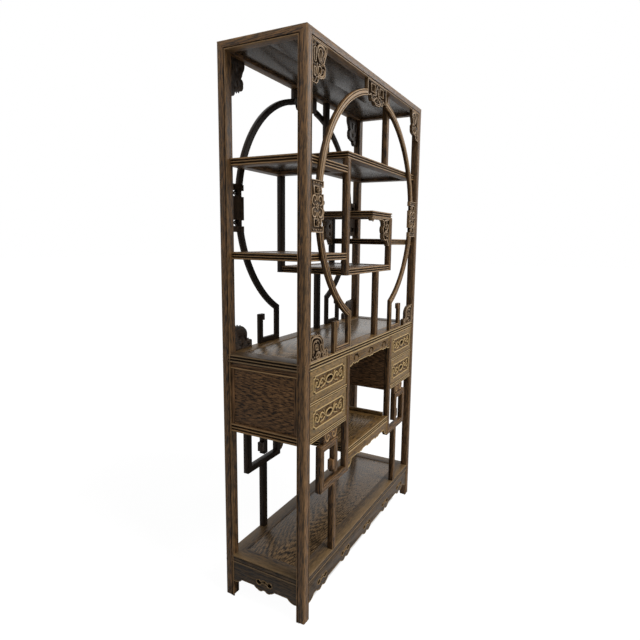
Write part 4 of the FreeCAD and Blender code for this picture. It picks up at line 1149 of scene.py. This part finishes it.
@dataclass
class SmallSpandrels(Carving):
    """Carved leaf bands under the small top board, front and back in one node."""

    def build(self) -> None:
        """Build both bands as one piece."""
        plate = merged_copy(self.node, self.ease)
        leaves = self.tips(rims(plate, Y)[0], Y)
        for sign in SIDES.values():
            sink_ground(plate, Y * sign, self.rim, self.sink, least=self.face - 2)
        piece = Piece(self.node + "_carved", (self.node,), CARVED_WOOD, Slot.CARVED)
        piece.add(plate, rub=self.rub())
        piece.add(*self.relief(), *leaves, flips=self.flips, along=2, rub=self.rub()).done()


@dataclass
class SideMedallions:
    """Stile, bars, bead necks and carved block between ring and corner post, at four places."""

    middle_z: float = 1466.0
    height: float = 168.0
    block: float = 83.0
    bar: float = 21.0
    neck_x: float = 451.0
    ring_x: float = 427.0
    middle_x: float = 466.0
    face: float = 173.0
    lift: float = 1.2
    # Control points of one quarter's scrolls: across, up and radius
    scrolls: tuple[Stroke, ...] = (
        ((16, 3, 2.4), (33, 6, 3.0), (34, 22, 3.2), (26, 35, 3.4), (10, 34, 3.2), (7, 22, 2.8), (16, 15, 2.4),
         (23, 21, 2.0), (19, 26, 1.6)),
        ((0, 38, 2.2), (4, 26, 2.6), (1, 18, 2.4)))
    # Clouds at both sides of a neck, and the curl by the ring
    clouds: tuple[Stroke, ...] = (
        ((-4, -9, 3.2), (-13, -7, 3.0), (-15, 2, 2.8), (-8, 5, 2.4), (-5, 0, 1.8)),
        ((9, 8, 3.0), (17, 6, 2.8), (18, -3, 2.4), (11, -5, 1.8)))
    curl: Stroke = ((6, 10, 3.0), (-4, 8, 3.2), (-9, 15, 3.0), (-5, 22, 2.6), (1, 19, 2.0))
    # Leaves by the stile: across, up and turn
    leaves: tuple[Place, ...] = ((24, 75, 20), (8, 75, -20))

    def relief(self) -> list[Solid]:
        """Turned necks, clouds and block carving of the right back medallion."""
        level = self.face - 1.8
        middle = Vector((self.middle_x, level, self.middle_z))
        neck = (self.height / 2 - self.bar + self.block / 2) / 2
        solids = []
        for sign in (-1, 1):
            centre = Vector((self.neck_x, level - 4, self.middle_z + sign * neck))
            solids.append(knob(centre, (22, 12, 13)))
            solids += [scroll(centre + Y * 3, line) for line in self.clouds]
            for step in (-1, 1):
                solids += [scroll(middle, line, step, sign) for line in self.scrolls]
                solids += [knob(middle + Vector((a * step, 0, b * sign)), (12, 5, 6), turn * step * sign)
                           for a, b, turn in self.leaves]
            solids.append(scroll(Vector((self.ring_x, level - 1, self.middle_z)), self.curl, up=sign))
        return solids + flower(middle, 6, 13, 5.4)

    def build(self) -> None:
        """Build the four medallions."""
        rub = (self.face - 3.2, self.face + 1.5)
        for place, flips in CORNERS.items():
            node = "side_medallion_%s_%s" % tuple(reversed(place.split("_")))
            plate = merged_copy(node, 0.3)
            sink_ground(plate, Y * flips[1], 2.0, 3.4, self.lift)
            reach = self.face + self.lift
            for vert in plate.verts:
                vert.co.y = max(-reach, min(reach, vert.co.y))
            piece = Piece(node + "_carved", (node,), CARVED_FINISHES[flips[1]], Slot.CARVED)
            piece.add(plate, rub=rub).add(*flipped(self.relief(), *flips), along=2, rub=rub).done()


@dataclass
class BeadedBoards:
    """Aprons whose lower edge, ends and piercings are followed by a raised bead."""

    bead: float = 3.2
    # Piercings less wide than this get a bead of a smaller share of the width
    fine_width: float = 60.0
    fine_share: float = 0.28
    share: float = 0.5
    ease: float = 0.6
    nodes: tuple[tuple[str, tuple[Vector, ...]], ...] = (
        ("base_apron_front", (-Y,)), ("base_apron_back", (Y,)), ("base_apron_left", (-X,)),
        ("base_apron_right", (X,)), ("kneehole_aprons", (-Y, Y)), ("kneehole_shelf_trim", (-Y, Y)))
    # Outer faces' middles and height of the base's and the kneehole's pierced clouds, and where they are
    base_face: Place = (534.0, 169.0, 101.0)
    base_places: tuple[float, ...] = tuple(506 * share for share in (-0.80, -0.42, 0.0, 0.42, 0.80))
    knee_z: float = 894.0
    knee_places: tuple[float, ...] = tuple(207 * share for share in (-0.70, 0.0, 0.70))
    # Width, depth and height around a cloud's middle where the walls get painted shade, and how far behind the face
    # that is
    shaded_reach: Place = (38.0, 6.6, 14.0)
    behind: float = 4.0
    curl_reach: float = 12.0
    # Control points of a curl in reaches: across, up and radius
    curl: Stroke = ((0.0, -0.5, 0.26), (0.9, -0.62, 0.24), (1.25, 0.1, 0.2), (0.75, 0.55, 0.18), (0.45, 0.1, 0.14))

    def curls(self) -> dict[str, list[Plane]]:
        """Middles of the pierced clouds of each apron, with the direction across the apron."""
        x, y, z = self.base_face
        clouds = {"base_apron_" + side: [(Vector((place, y * sign, z)), X) for place in self.base_places]
                  for side, sign in SIDES.items()}
        clouds |= {"base_apron_" + side: [(Vector((x * sign, 0, z)), Y)] for side, sign in (("left", -1), ("right", 1))}
        clouds["kneehole_aprons"] = [(Vector((place, y * sign, self.knee_z)), X)
                                     for place in self.knee_places for sign in SIDES.values()]
        return clouds

    def cloud(self, middle: Vector, across: Vector) -> list[Solid]:
        """Carved curls that hang in a pierced cloud."""
        if middle.z == self.knee_z:
            return [knob(middle + Y * math.copysign(2, -middle.y), (12, 7, 9))]
        reach = self.curl_reach
        solids = [scroll(Vector(), self.curl, side * reach, reach, thick=reach) for side in (-1, 1)]
        solids.append(knob(Z * reach * -0.75, (reach * 0.9, reach * 0.5, reach * 0.8)))
        for solid in solids:
            turn = Matrix.Rotation(math.atan2(across.y, across.x), 3, "Z")
            bmesh.ops.rotate(solid, verts=solid.verts, cent=(0, 0, 0), matrix=turn)
            bmesh.ops.translate(solid, verts=solid.verts, vec=middle)
        return solids

    def wax_and_shade(self, board: Solid, places: list[Plane]) -> None:
        """Darken the walls of a board's piercings with painted shade.

        Args:
            board: The board.
            places: Middle of each piercing with the direction across the board.
        """
        def amount(place: Vector) -> float:
            """Wear of the board: dark within a piercing's reach, as painted shade."""
            for middle, across in places:
                deep = Y if across == X else X
                depth = abs(place.dot(deep)) - abs(middle.dot(deep)) + self.behind
                reaches = ((place - middle).dot(across), depth, place.z - middle.z)
                if all(abs(reach) < limit for reach, limit in zip(reaches, self.shaded_reach)):
                    return 0.1
            return PLAIN

        wear(board, amount)

    def build(self) -> None:
        """Build every apron."""
        curls = self.curls()
        for node, directions in self.nodes:
            # Base aprons take the darker finish, painted shade low down
            finish = END_AND_BASE_SHADE_WOOD if node.startswith("base") else DESK_WOOD
            board = merged_copy(node)
            beads = [[place - out * 0.3 for place in line] for out in directions for line in rims(board, out)]
            soften(board, self.ease)
            # Painted shade on the walls of the piercings
            self.wax_and_shade(board, curls.get(node, []))
            piece = Piece(node + "_beaded", (node,), finish)
            for line in beads:
                width = sum(max(place[a] for place in line) - min(place[a] for place in line) for a in (0, 1))
                share, amount = (self.fine_share, PLAIN) if width < self.fine_width else (self.share, STRAND)
                piece.add(strand(line, [self.bead * share] * len(line), closed=True, smooth=False, amount=amount))
            piece.add(board)
            for cloud in curls.get(node, []):
                piece.add(*self.cloud(*cloud))
            piece.done()


@dataclass
class Cabinets:
    """Cabinet sides, backs, floors, front rails and drawer runners."""

    panel_outer: float = 534.0
    panel: float = 14.0
    bead_outer: float = 538.0
    bottom: float = 662.0
    desk_bottom: float = 920.0
    side_rail: float = 32.0
    bead: Span = (897.0, 905.0)
    post_x: float = 506.0
    post_y: float = 141.0
    divider_outer: float = 231.0
    knee_x: Span = (212.0, 226.0)
    front_face: float = 174.0
    rail_back: float = 151.0
    back_face: Span = (160.0, 174.0)
    floor: float = 10.0
    runner: float = 18.0
    stile: float = 14.0
    # Underside, top and reeds of each front rail, and underside and top of each pair of runners
    rails: tuple[tuple[float, float, int], ...] = ((662.0, 683.0, 3), (796.06, 810.06, 2))
    runners: tuple[Span, ...] = ((672.0, 683.0), (796.06, 810.06))

    def reeded_bar(self, start: Vector, end: Vector, out: Vector, high: float, *edge: float) -> Solid:
        """Bar with a reeded face.

        Args:
            start: Lower back corner where it starts.
            end: The same corner where it ends.
            out: Direction that the face looks in.
            high: Height of the bar.
            edge: Its depth, its reeds and what else reeded takes.

        Returns:
            The bar.
        """
        return bar([(0, 0, 0.8)] + reeded(high, *edge) + [(0, high, 0.8)], start, end, out, Z)

    def side(self) -> list[Solid]:
        """Right outer side: waist, bead, panel, a reeded rail and two stiles."""
        inner, outer = self.panel_outer - self.panel, self.panel_outer
        along = (-self.post_y, self.post_y)
        rail_top = self.bottom + self.side_rail
        bead = block((inner, self.bead_outer - 1), along, self.bead, 3.0)
        wear(bead, lambda place: 0.95 if abs(place.z - sum(self.bead) / 2) < 1.5 else 0.3)
        start = Vector((inner, -self.post_y, self.bottom))
        return [block((inner, outer), along, (self.bead[1], self.desk_bottom)),
                block((inner, outer - 2), along, (rail_top, self.bead[0])), bead,
                self.reeded_bar(start, start + Y * 2 * self.post_y, X, self.side_rail, self.bead_outer - inner, 3),
                *(block((inner, outer), (end, end - math.copysign(self.stile, end)), (rail_top, self.bead[0]), 1.2)
                  for end in along)]

    def build(self) -> None:
        """Build both cabinets and the rails."""
        hollow, depth = (self.divider_outer, self.post_x), (-self.rail_back, self.back_face[0])
        high = (self.bottom, self.desk_bottom)
        for side, sign in (("right", 1), ("left", -1)):
            solids = self.side() + [block(self.knee_x, (-self.rail_back, self.rail_back), high),
                                    block(hollow, self.back_face, high),
                                    block(hollow, depth, (self.bottom, self.bottom + self.floor))]
            piece = Piece("cabinet_sides_" + side, ("cabinet_carcass_" + side,), SIDE_WOOD, Slot.PANEL)
            piece.add(*flipped(solids, x=sign)).done()
        solids = []
        for low, top, reeds in self.rails:
            start = Vector((hollow[0], -self.rail_back, low))
            solids.append(self.reeded_bar(start, start + X * (hollow[1] - hollow[0]), -Y, top - low,
                                          self.front_face - self.rail_back, reeds, 1.8, 1.8))
        solids += [block(x, depth, span) for span in self.runners
                   for x in ((hollow[0], hollow[0] + self.runner), (hollow[1] - self.runner, hollow[1]))]
        Piece("cabinet_front_rails", ("cabinet_rails",), DESK_WOOD).add(*solids, flips=Flips.LEFT_RIGHT).done()


@dataclass
class Drawers:
    """Four drawers: carved fronts with a scooped oval pull, and plain boxes behind."""

    rows: tuple[tuple[str, float, float], ...] = (("upper", 810.06, 920.0), ("lower", 683.0, 796.06))
    x: Span = (232.5, 504.5)
    face: float = 174.0
    border: float = 172.4
    ground: float = 169.6
    bowl: float = 167.6
    carving: float = 171.6
    line: float = 172.5
    margin: float = 23.0
    pull: Span = (50.0, 27.0)
    gap: float = 1.5
    # Front, back and side thickness of the box
    box_y: Span = (-154.0, 148.0)
    box_side: float = 10.0
    # Scoop of the pull: inset and rise of each step
    scoop: tuple[Span, ...] = ((1.2, 0.0), (2.6, -2.6), (3.0, -1.8), (3.2, -0.8))
    # Control points of the vines right of the pull: across, up and radius
    vines: tuple[Stroke, ...] = (
        ((27, -6, 2.2), (36, 4, 2.4), (47, 13, 2.4), (60, 12, 2.3), (66, 2, 2.2), (58, -6, 2.0), (51, 0, 1.7),
         (55, 4, 1.4)),
        ((62, 9, 2.0), (70, -4, 2.2), (82, -14, 2.3), (95, -9, 2.2), (98, 3, 2.1), (90, 9, 1.9), (84, 3, 1.6),
         (88, -1, 1.3)),
        ((30, -8, 1.8), (42, -16, 2.0), (56, -17, 1.9), (64, -20, 1.5)),
        ((72, -6, 1.6), (76, 8, 1.9), (84, 18, 1.9), (96, 19, 1.5)),
        ((98, 0, 1.5), (104, -10, 1.7), (102, -19, 1.4)),
        ((34, 6, 1.6), (32, 16, 1.8), (42, 21, 1.4)))
    # Leaves of the vines: across, up and turn
    leaves: tuple[Place, ...] = ((44, 6, 30), (70, 14, -20), (80, -4, 40), (92, -2, 0), (56, -12, 20))

    def front(self, node: str) -> Solid:
        """Copy of the front with its ground sunk and its pull scooped to a bowl."""
        board = merged_copy(node)
        for vert in board.verts:
            below = self.face + vert.co.y
            for limit, level in ((0.5, self.border), (2.5, self.ground), (6, self.bowl)):
                if below < limit:
                    vert.co.y = -level
                    break
        bowl = [f for f in faces_toward(board, -Y) if abs(f.calc_center_median().y + self.bowl) < 0.3]
        for step in self.scoop:
            inset(board, bowl, *step)
        bevel(board, [e for e in sharp_edges(board, 80) if max(-v.co.y for v in e.verts) > self.ground - 1], 0.6,
              clamp=True)
        return board

    def frame_line(self, middle: Vector, half_x: float, half_z: float) -> Solid:
        """Raised bead round the sunk field, with a step at each corner."""
        step, short = half_x - 11.0, half_z - 8.0
        quarter = [(half_x, 0), (half_x, short - 4), (half_x, short), (step + 3, short), (step, short + 3),
                   (step, half_z), (step - 5, half_z), (0, half_z)]
        half = quarter + [(-a, b) for a, b in reversed(quarter[:-1])]
        ring = half + [(a, -b) for a, b in reversed(half[1:-1])]
        return strand([middle + Vector((a, 0, b)) for a, b in ring], [2.3] * len(ring), closed=True)

    def relief(self, middle: Vector) -> list[Solid]:
        """Scrolling vines on both sides of the pull and a small flower above it."""
        solids = []
        for side in (-1, 1):
            solids += [scroll(middle, line, side, flat=1.1) for line in self.vines]
            solids += [knob(middle + Vector((a * side, 0, b)), (8, 4.4, 4), turn * side) for a, b, turn in self.leaves]
        solids += flower(middle + Vector((0, 0.6, 24)), 5, 7.5, 4)
        return solids + [knob(middle + Vector((11 * side, 0, 21)), (8, 4, 4), -25 * side) for side in (-1, 1)]

    def rim(self, middle: Vector, count: int = 20) -> Solid:
        """Raised rim round the oval pull."""
        a, b = (size / 2 + 0.5 for size in self.pull)
        turns = [math.tau * index / count for index in range(count)]
        return strand([middle + Vector((a * math.cos(t), 0, b * math.sin(t))) for t in turns], [2.5] * count,
                      closed=True)

    def box(self, low: float, high: float) -> list[Solid]:
        """Sides, back and bottom of the right drawer's box."""
        z, (front, rear) = (low + 0.3, high - 12.0), self.box_y
        inner = (self.x[0] + self.box_side, self.x[1] - self.box_side)
        walls = (((self.x[0], inner[0]), self.box_y), ((inner[1], self.x[1]), self.box_y),
                 (inner, (rear - self.box_side, rear)))
        return [block(x, y, z, 1.0) for x, y in walls] + [
            block(inner, (front, rear - self.box_side), (z[0] + 3.0, z[0] + 9.0), 0.6)]

    def build(self) -> None:
        """Build the four drawers."""
        rub = (self.ground - 7.4, self.face + 4.7)
        half_x = (self.x[1] - self.x[0]) / 2 - self.margin
        for row, low, high in self.rows:
            half_z = (high - low) / 2 - self.gap - self.margin
            for side, sign in (("left", -1), ("right", 1)):
                name = "drawer_%s_%s" % (row, side)
                middle = Vector((sign * sum(self.x) / 2, -self.carving, (low + high) / 2))
                line = Vector((middle.x, -self.line, middle.z))
                piece = Piece(name + "_face", (name + "_front",), DESK_WOOD, body=name)
                piece.add(self.front(name + "_front"), along=0, rub=rub)
                piece.add(self.frame_line(line, half_x, half_z), self.rim(line), *self.relief(middle), along=0).done()
                piece = Piece(name + "_tray", (name + "_box",), BOX_WOOD, Slot.DRAWER, name)
                piece.add(*flipped(self.box(low, high), x=sign)).done()


@dataclass
class Studio:
    """Pale floor, soft lights and the camera of the photograph."""

    place: Place = (-1.88662, -0.99501, 1.35610)
    azimuth: float = -62.8504
    elevation: float = 8.1511
    roll: float = 0.9032
    lens: float = 27.719
    sensor: float = 36.0
    shift: Span = (-0.0335, -0.0133)
    # Start and end, along X and Y in metres, of the fade from the floor's own shade to white
    shade: tuple[Span, Span] = ((0.435, 0.449), (0.12, 0.132))
    floor_grey: float = 0.56
    floor_white: float = 1.13
    floor_share: float = 0.86
    room_light: float = 0.06

    def camera(self) -> None:
        """Place the camera."""
        data = bpy.data.cameras.new("camera")
        data.lens, data.sensor_width = self.lens, self.sensor
        data.shift_x, data.shift_y = self.shift
        data.clip_start, data.clip_end = 0.05, 100.0
        matrix = Matrix.Translation(self.place)
        for angle, axis in ((self.azimuth, "Z"), (90 - self.elevation, "X"), (self.roll, "Z")):
            matrix @= Matrix.Rotation(math.radians(angle), 4, axis)
        thing = show("camera", data)
        thing.matrix_world = matrix
        bpy.context.scene.camera = thing

    def light(self, name: str, place: Place, aim: Place, size: float, power: float, kind: str = "AREA") -> None:
        """Hang a soft square lamp, or let the sun shine.

        Args:
            name: Name of the light.
            place: Where it hangs, in metres.
            aim: What it points at, in metres.
            size: Side of the square in metres, or width of the sun in degrees.
            power: Watts, or watts on each square metre for the sun.
            kind: AREA for a lamp or SUN.
        """
        data = bpy.data.lights.new(name, kind)
        data.energy = power
        if kind == "SUN":
            data.angle = math.radians(size)
        else:
            data.shape, data.size = "SQUARE", size
        thing = show(name, data)
        thing.location = place
        thing.rotation_euler = (Vector(aim) - Vector(place)).to_track_quat("-Z", "Y").to_euler()

    def floor(self) -> None:
        """Lay the pale floor, which shows white to the camera but keeps the shadow."""
        solid = bmesh.new()
        bmesh.ops.create_grid(solid, x_segments=1, y_segments=1, size=30)
        data = bpy.data.meshes.new("floor")
        solid.to_mesh(data)
        solid.free()
        data.materials.append(bpy.data.materials.new("pale_floor_paper"))
        tree = blank_tree(data.materials[0])
        place = add_node(tree, "SeparateXYZ", {0: add_node(tree, "TexCoord").outputs[3]}).outputs
        fades = [ranged(tree, maths(tree, "ABSOLUTE", place[axis]), *span) for axis, span in enumerate(self.shade)]
        seen = maths(tree, "MULTIPLY", add_node(tree, "LightPath").outputs["Is Camera Ray"], self.floor_share)
        share = maths(tree, "MULTIPLY", seen, maths(tree, "MAXIMUM", *fades))
        paper = add_node(tree, "BsdfDiffuse", {"Color": (*(self.floor_grey,) * 3, 1)}).outputs[0]
        white = add_node(tree, "Emission", {"Color": (1, 1, 1, 1), "Strength": self.floor_white}).outputs[0]
        both = add_node(tree, "MixShader", {0: share, 1: paper, 2: white}).outputs[0]
        add_node(tree, "OutputMaterial", {"Surface": both})
        show("floor", data)

    def world(self) -> None:
        """Light the room softly, with a white backdrop for the camera and in reflections."""
        world = bpy.data.worlds.new("studio")
        bpy.context.scene.world = world
        tree = blank_tree(world)
        path = add_node(tree, "LightPath").outputs
        seen = maths(tree, "MAXIMUM", path["Is Camera Ray"], path["Is Glossy Ray"])
        seen = maths(tree, "MAXIMUM", seen, path["Is Transmission Ray"])
        soft, white = [add_node(tree, "Background", {"Color": (1, 1, 1, 1), "Strength": strength}).outputs[0]
                       for strength in (self.room_light, 1.0)]
        both = add_node(tree, "MixShader", {0: seen, 1: soft, 2: white}).outputs[0]
        add_node(tree, "OutputWorld", {"Surface": both})

    def build(self) -> None:
        """Build the studio."""
        self.camera()
        self.world()
        self.floor()
        self.light("key", (0, 0, 0), (0, 2.6, -2.9), 24.0, 3.4, "SUN")
        self.light("left", (-2.1, -0.4, 3.2), (0, 0, 1.9), 1.4, 25)
        self.light("front", (2.1, -2.1, 2.75), (-0.3, -0.17, 1.9), 1.2, 38)
        bpy.context.scene.view_settings.view_transform = "Standard"


# Corner spandrels: a dragon scroll over two curls, with blossoms
SPANDREL = {
    "strokes": (
        ((56, 46, 2.6), (44, 40, 3), (33, 22, 3.4), (44, 7, 3.8), (70, 6, 4), (92, 12, 3.6), (86, 24, 3.2),
         (74, 32, 2.8), (72, 40, 2.4)),
        ((70, 12, 1.8), (80, 13, 2.2), (82, 20, 2.2), (74, 22, 1.8), (72, 17, 1.4)),
        ((36, 50, 2.4), (31, 62, 2.8), (34, 76, 3.2), (56, 80, 3.6), (80, 74, 3.6), (86, 61, 3), (74, 57, 2.4),
         (70, 65, 2.2), (76, 67, 1.6)),
        ((30, 82, 2.4), (27, 90, 2.8), (18, 97, 2.4), (10, 93, 1.8), (14, 88, 1.4)),
        ((26, 55, 2.2), (14, 57, 2.4), (6, 54, 2)),
        ((28, 10, 2.2), (16, 11, 2.4), (7, 15, 2)),
        ((4, 3, 2.2), (50, 3, 2.2), (94, 3, 2.2)),
        ((5, 8, 1.8), (5, 50, 1.8), (5, 96, 1.8))),
    "bosses": (
        (50, 52, 12, 7, 30), (84, 47, 10, 7, -40), (16, 62, 9, 6, 80), (56, 76, 8, 5, 10), (18, 8, 9, 5, 20),
        (40, 90, 9, 6, 60), (42, 30, 5, 12, 10), (70, 26, 5, 10, -10)),
    "blossoms": ((68, 47, 10),),
}
# Desk brackets: nested scrolls
BRACKET = {
    "strokes": (
        ((7, 14, 3), (6, 60, 3.2), (10, 88, 3.4), (36, 90, 3.6), (58, 80, 3.4), (69, 62, 3), (71, 46, 2.6)),
        ((17, 22, 2.6), (16, 54, 2.8), (22, 73, 3), (40, 77, 3), (53, 67, 2.6), (54, 58, 2)),
        ((25, 28, 2.2), (25, 50, 2.4), (34, 62, 2.6), (47, 58, 2.4), (50, 44, 2.2), (43, 34, 1.8)),
        ((33, 14, 2.4), (36, 26, 3), (48, 32, 3.4), (60, 24, 3), (60, 12, 2.4), (52, 5, 1.8)),
        ((56, 44, 2.2), (62, 26, 2.4), (70, 20, 2.8), (84, 23, 3), (95, 20, 2.8), (95, 10, 2.2)),
        ((3, 3.5, 2), (50, 3.5, 2), (96, 3.5, 2))),
    "bosses": (
        (14, 11, 12, 7, 20), (26, 14, 10, 7, -30), (34, 70, 12, 5, 10), (88, 26, 8, 7, 0), (20, 36, 5, 12, 0),
        (44, 40, 6, 9, 20)),
    "blossoms": (),
}
# Crown medallions, right half
CROWN = {
    "strokes": (
        ((2, 10, 2.6), (10, 30, 3), (8, 50, 3), (20, 60, 3.2), (34, 56, 2.8), (36, 66, 2.4)),
        ((5, 62, 3), (22, 76, 3.2), (42, 82, 3), (52, 72, 2.6), (42, 64, 2)),
        ((2, 92, 2.8), (16, 92, 2.8), (28, 86, 2.4), (24, 78, 1.8)),
        ((58, 60, 2.4), (68, 58, 2.6), (72, 66, 2)),
        ((3, 5, 1.8), (50, 5, 1.8), (96, 5, 1.8)),
        ((93, 10, 1.8), (93, 36, 1.8), (93, 66, 1.8))),
    "bosses": (
        (14, 42, 9, 6, 60), (30, 72, 11, 6, -20), (46, 62, 9, 6, 20), (6, 24, 7, 9, 0), (20, 50, 7, 7, 0),
        (62, 68, 8, 5, 0)),
    "blossoms": ((0, 74, 12),),
}
# Leaf bands under the small top board
LEAF_BAND = {
    "strokes": (
        ((6, 5, 2.6), (20, 6, 3), (32, 10, 2.6), (30, 22, 2.4), (22, 26, 2)),
        ((6, 20, 2.4), (8, 42, 2.8), (22, 46, 3), (30, 54, 2.6), (24, 64, 2.2), (16, 62, 1.8)),
        ((5, 60, 2.4), (6, 80, 2.6), (14, 78, 2.4), (18, 70, 1.8)),
        ((50, 3.5, 2), (70, 3.5, 2), (90, 3.5, 2))),
    "bosses": (
        (24, 36, 12, 7, 40), (10, 50, 9, 6, 70), (26, 58, 10, 6, -40), (10, 88, 8, 5, 80), (94, 6, 10, 8, 0)),
    "blossoms": ((18, 14, 9),),
}


def carvings() -> list[Carving]:
    """List the carved plates of the lattice."""
    return [
        Carving("corner_spandrels", (506.0, 1970.0), (-92.0, -128.0), **SPANDREL),
        Carving("desk_brackets", (506.0, 950.0), (-118.0, 92.0), **BRACKET),
        Carving("crown_medallion", (0.0, 1970.0), (92.0, -81.0), **CROWN),
        SmallSpandrels("small_spandrels", (213.0, 1457.0), (-193.0, -120.0), face=156.0, lift=0.0, sink=3.6,
                       flips=Flips.FRONT_BACK, **LEAF_BAND),
    ]


def boards() -> list[FramedBoard]:
    """List the desk, the base and the shelves."""
    full = ((-539.0, 539.0), (-174.0, 174.0))
    deep = (-157.2, 157.2)
    return [
        FramedBoard("desk", *full, 950.0, 30.0, 58.0,
                    nodes=("desk_front_rail", "desk_back_rail", "desk_end_rails", "desk_panel"),
                    finish=BOARD_WOOD, rails_finish=DESK_WOOD),
        FramedBoard("base", *full, 170.0, 26.0, 58.0, 0,
                    nodes=("base_front_rail", "base_back_rail", "base_end_rails", "base_panel"),
                    finish=BASE_WOOD, rails_finish=END_AND_BASE_SHADE_WOOD),
        FramedBoard("kneehole_shelf", (-207.0, 207.0), full[1], 540.0, finish=BOARD_WOOD, rails_finish=DESK_WOOD),
        FramedBoard("shelf_upper_left", (-518.0, -218.0), deep, 1630.0),
        FramedBoard("shelf_upper_right", (-217.2, 518.0), deep, 1684.0),
        FramedBoard("shelf_lower_left", (-518.0, -218.0), deep, 1312.0),
        FramedBoard("shelf_box_floor", (-217.2, 236.2), deep, 1252.0),
        FramedBoard("shelf_small_top", (19.0, 236.2), deep, 1483.0),
        FramedBoard("shelf_small_right", (237.8, 518.0), deep, 1368.0),
    ]


def main() -> None:
    """Build the shelf and its studio in order."""
    logging.basicConfig(level=logging.INFO, format="%(message)s")
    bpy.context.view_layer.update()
    Studio().build()
    OuterFrame().build()
    for board in boards():
        board.build()
    MoonRing().build()
    InnerPosts().build()
    LowerFrets().build()
    for carving in carvings():
        carving.build()
    SideMedallions().build()
    BeadedBoards().build()
    Cabinets().build()
    Drawers().build()


if __name__ == "__main__":
    main()
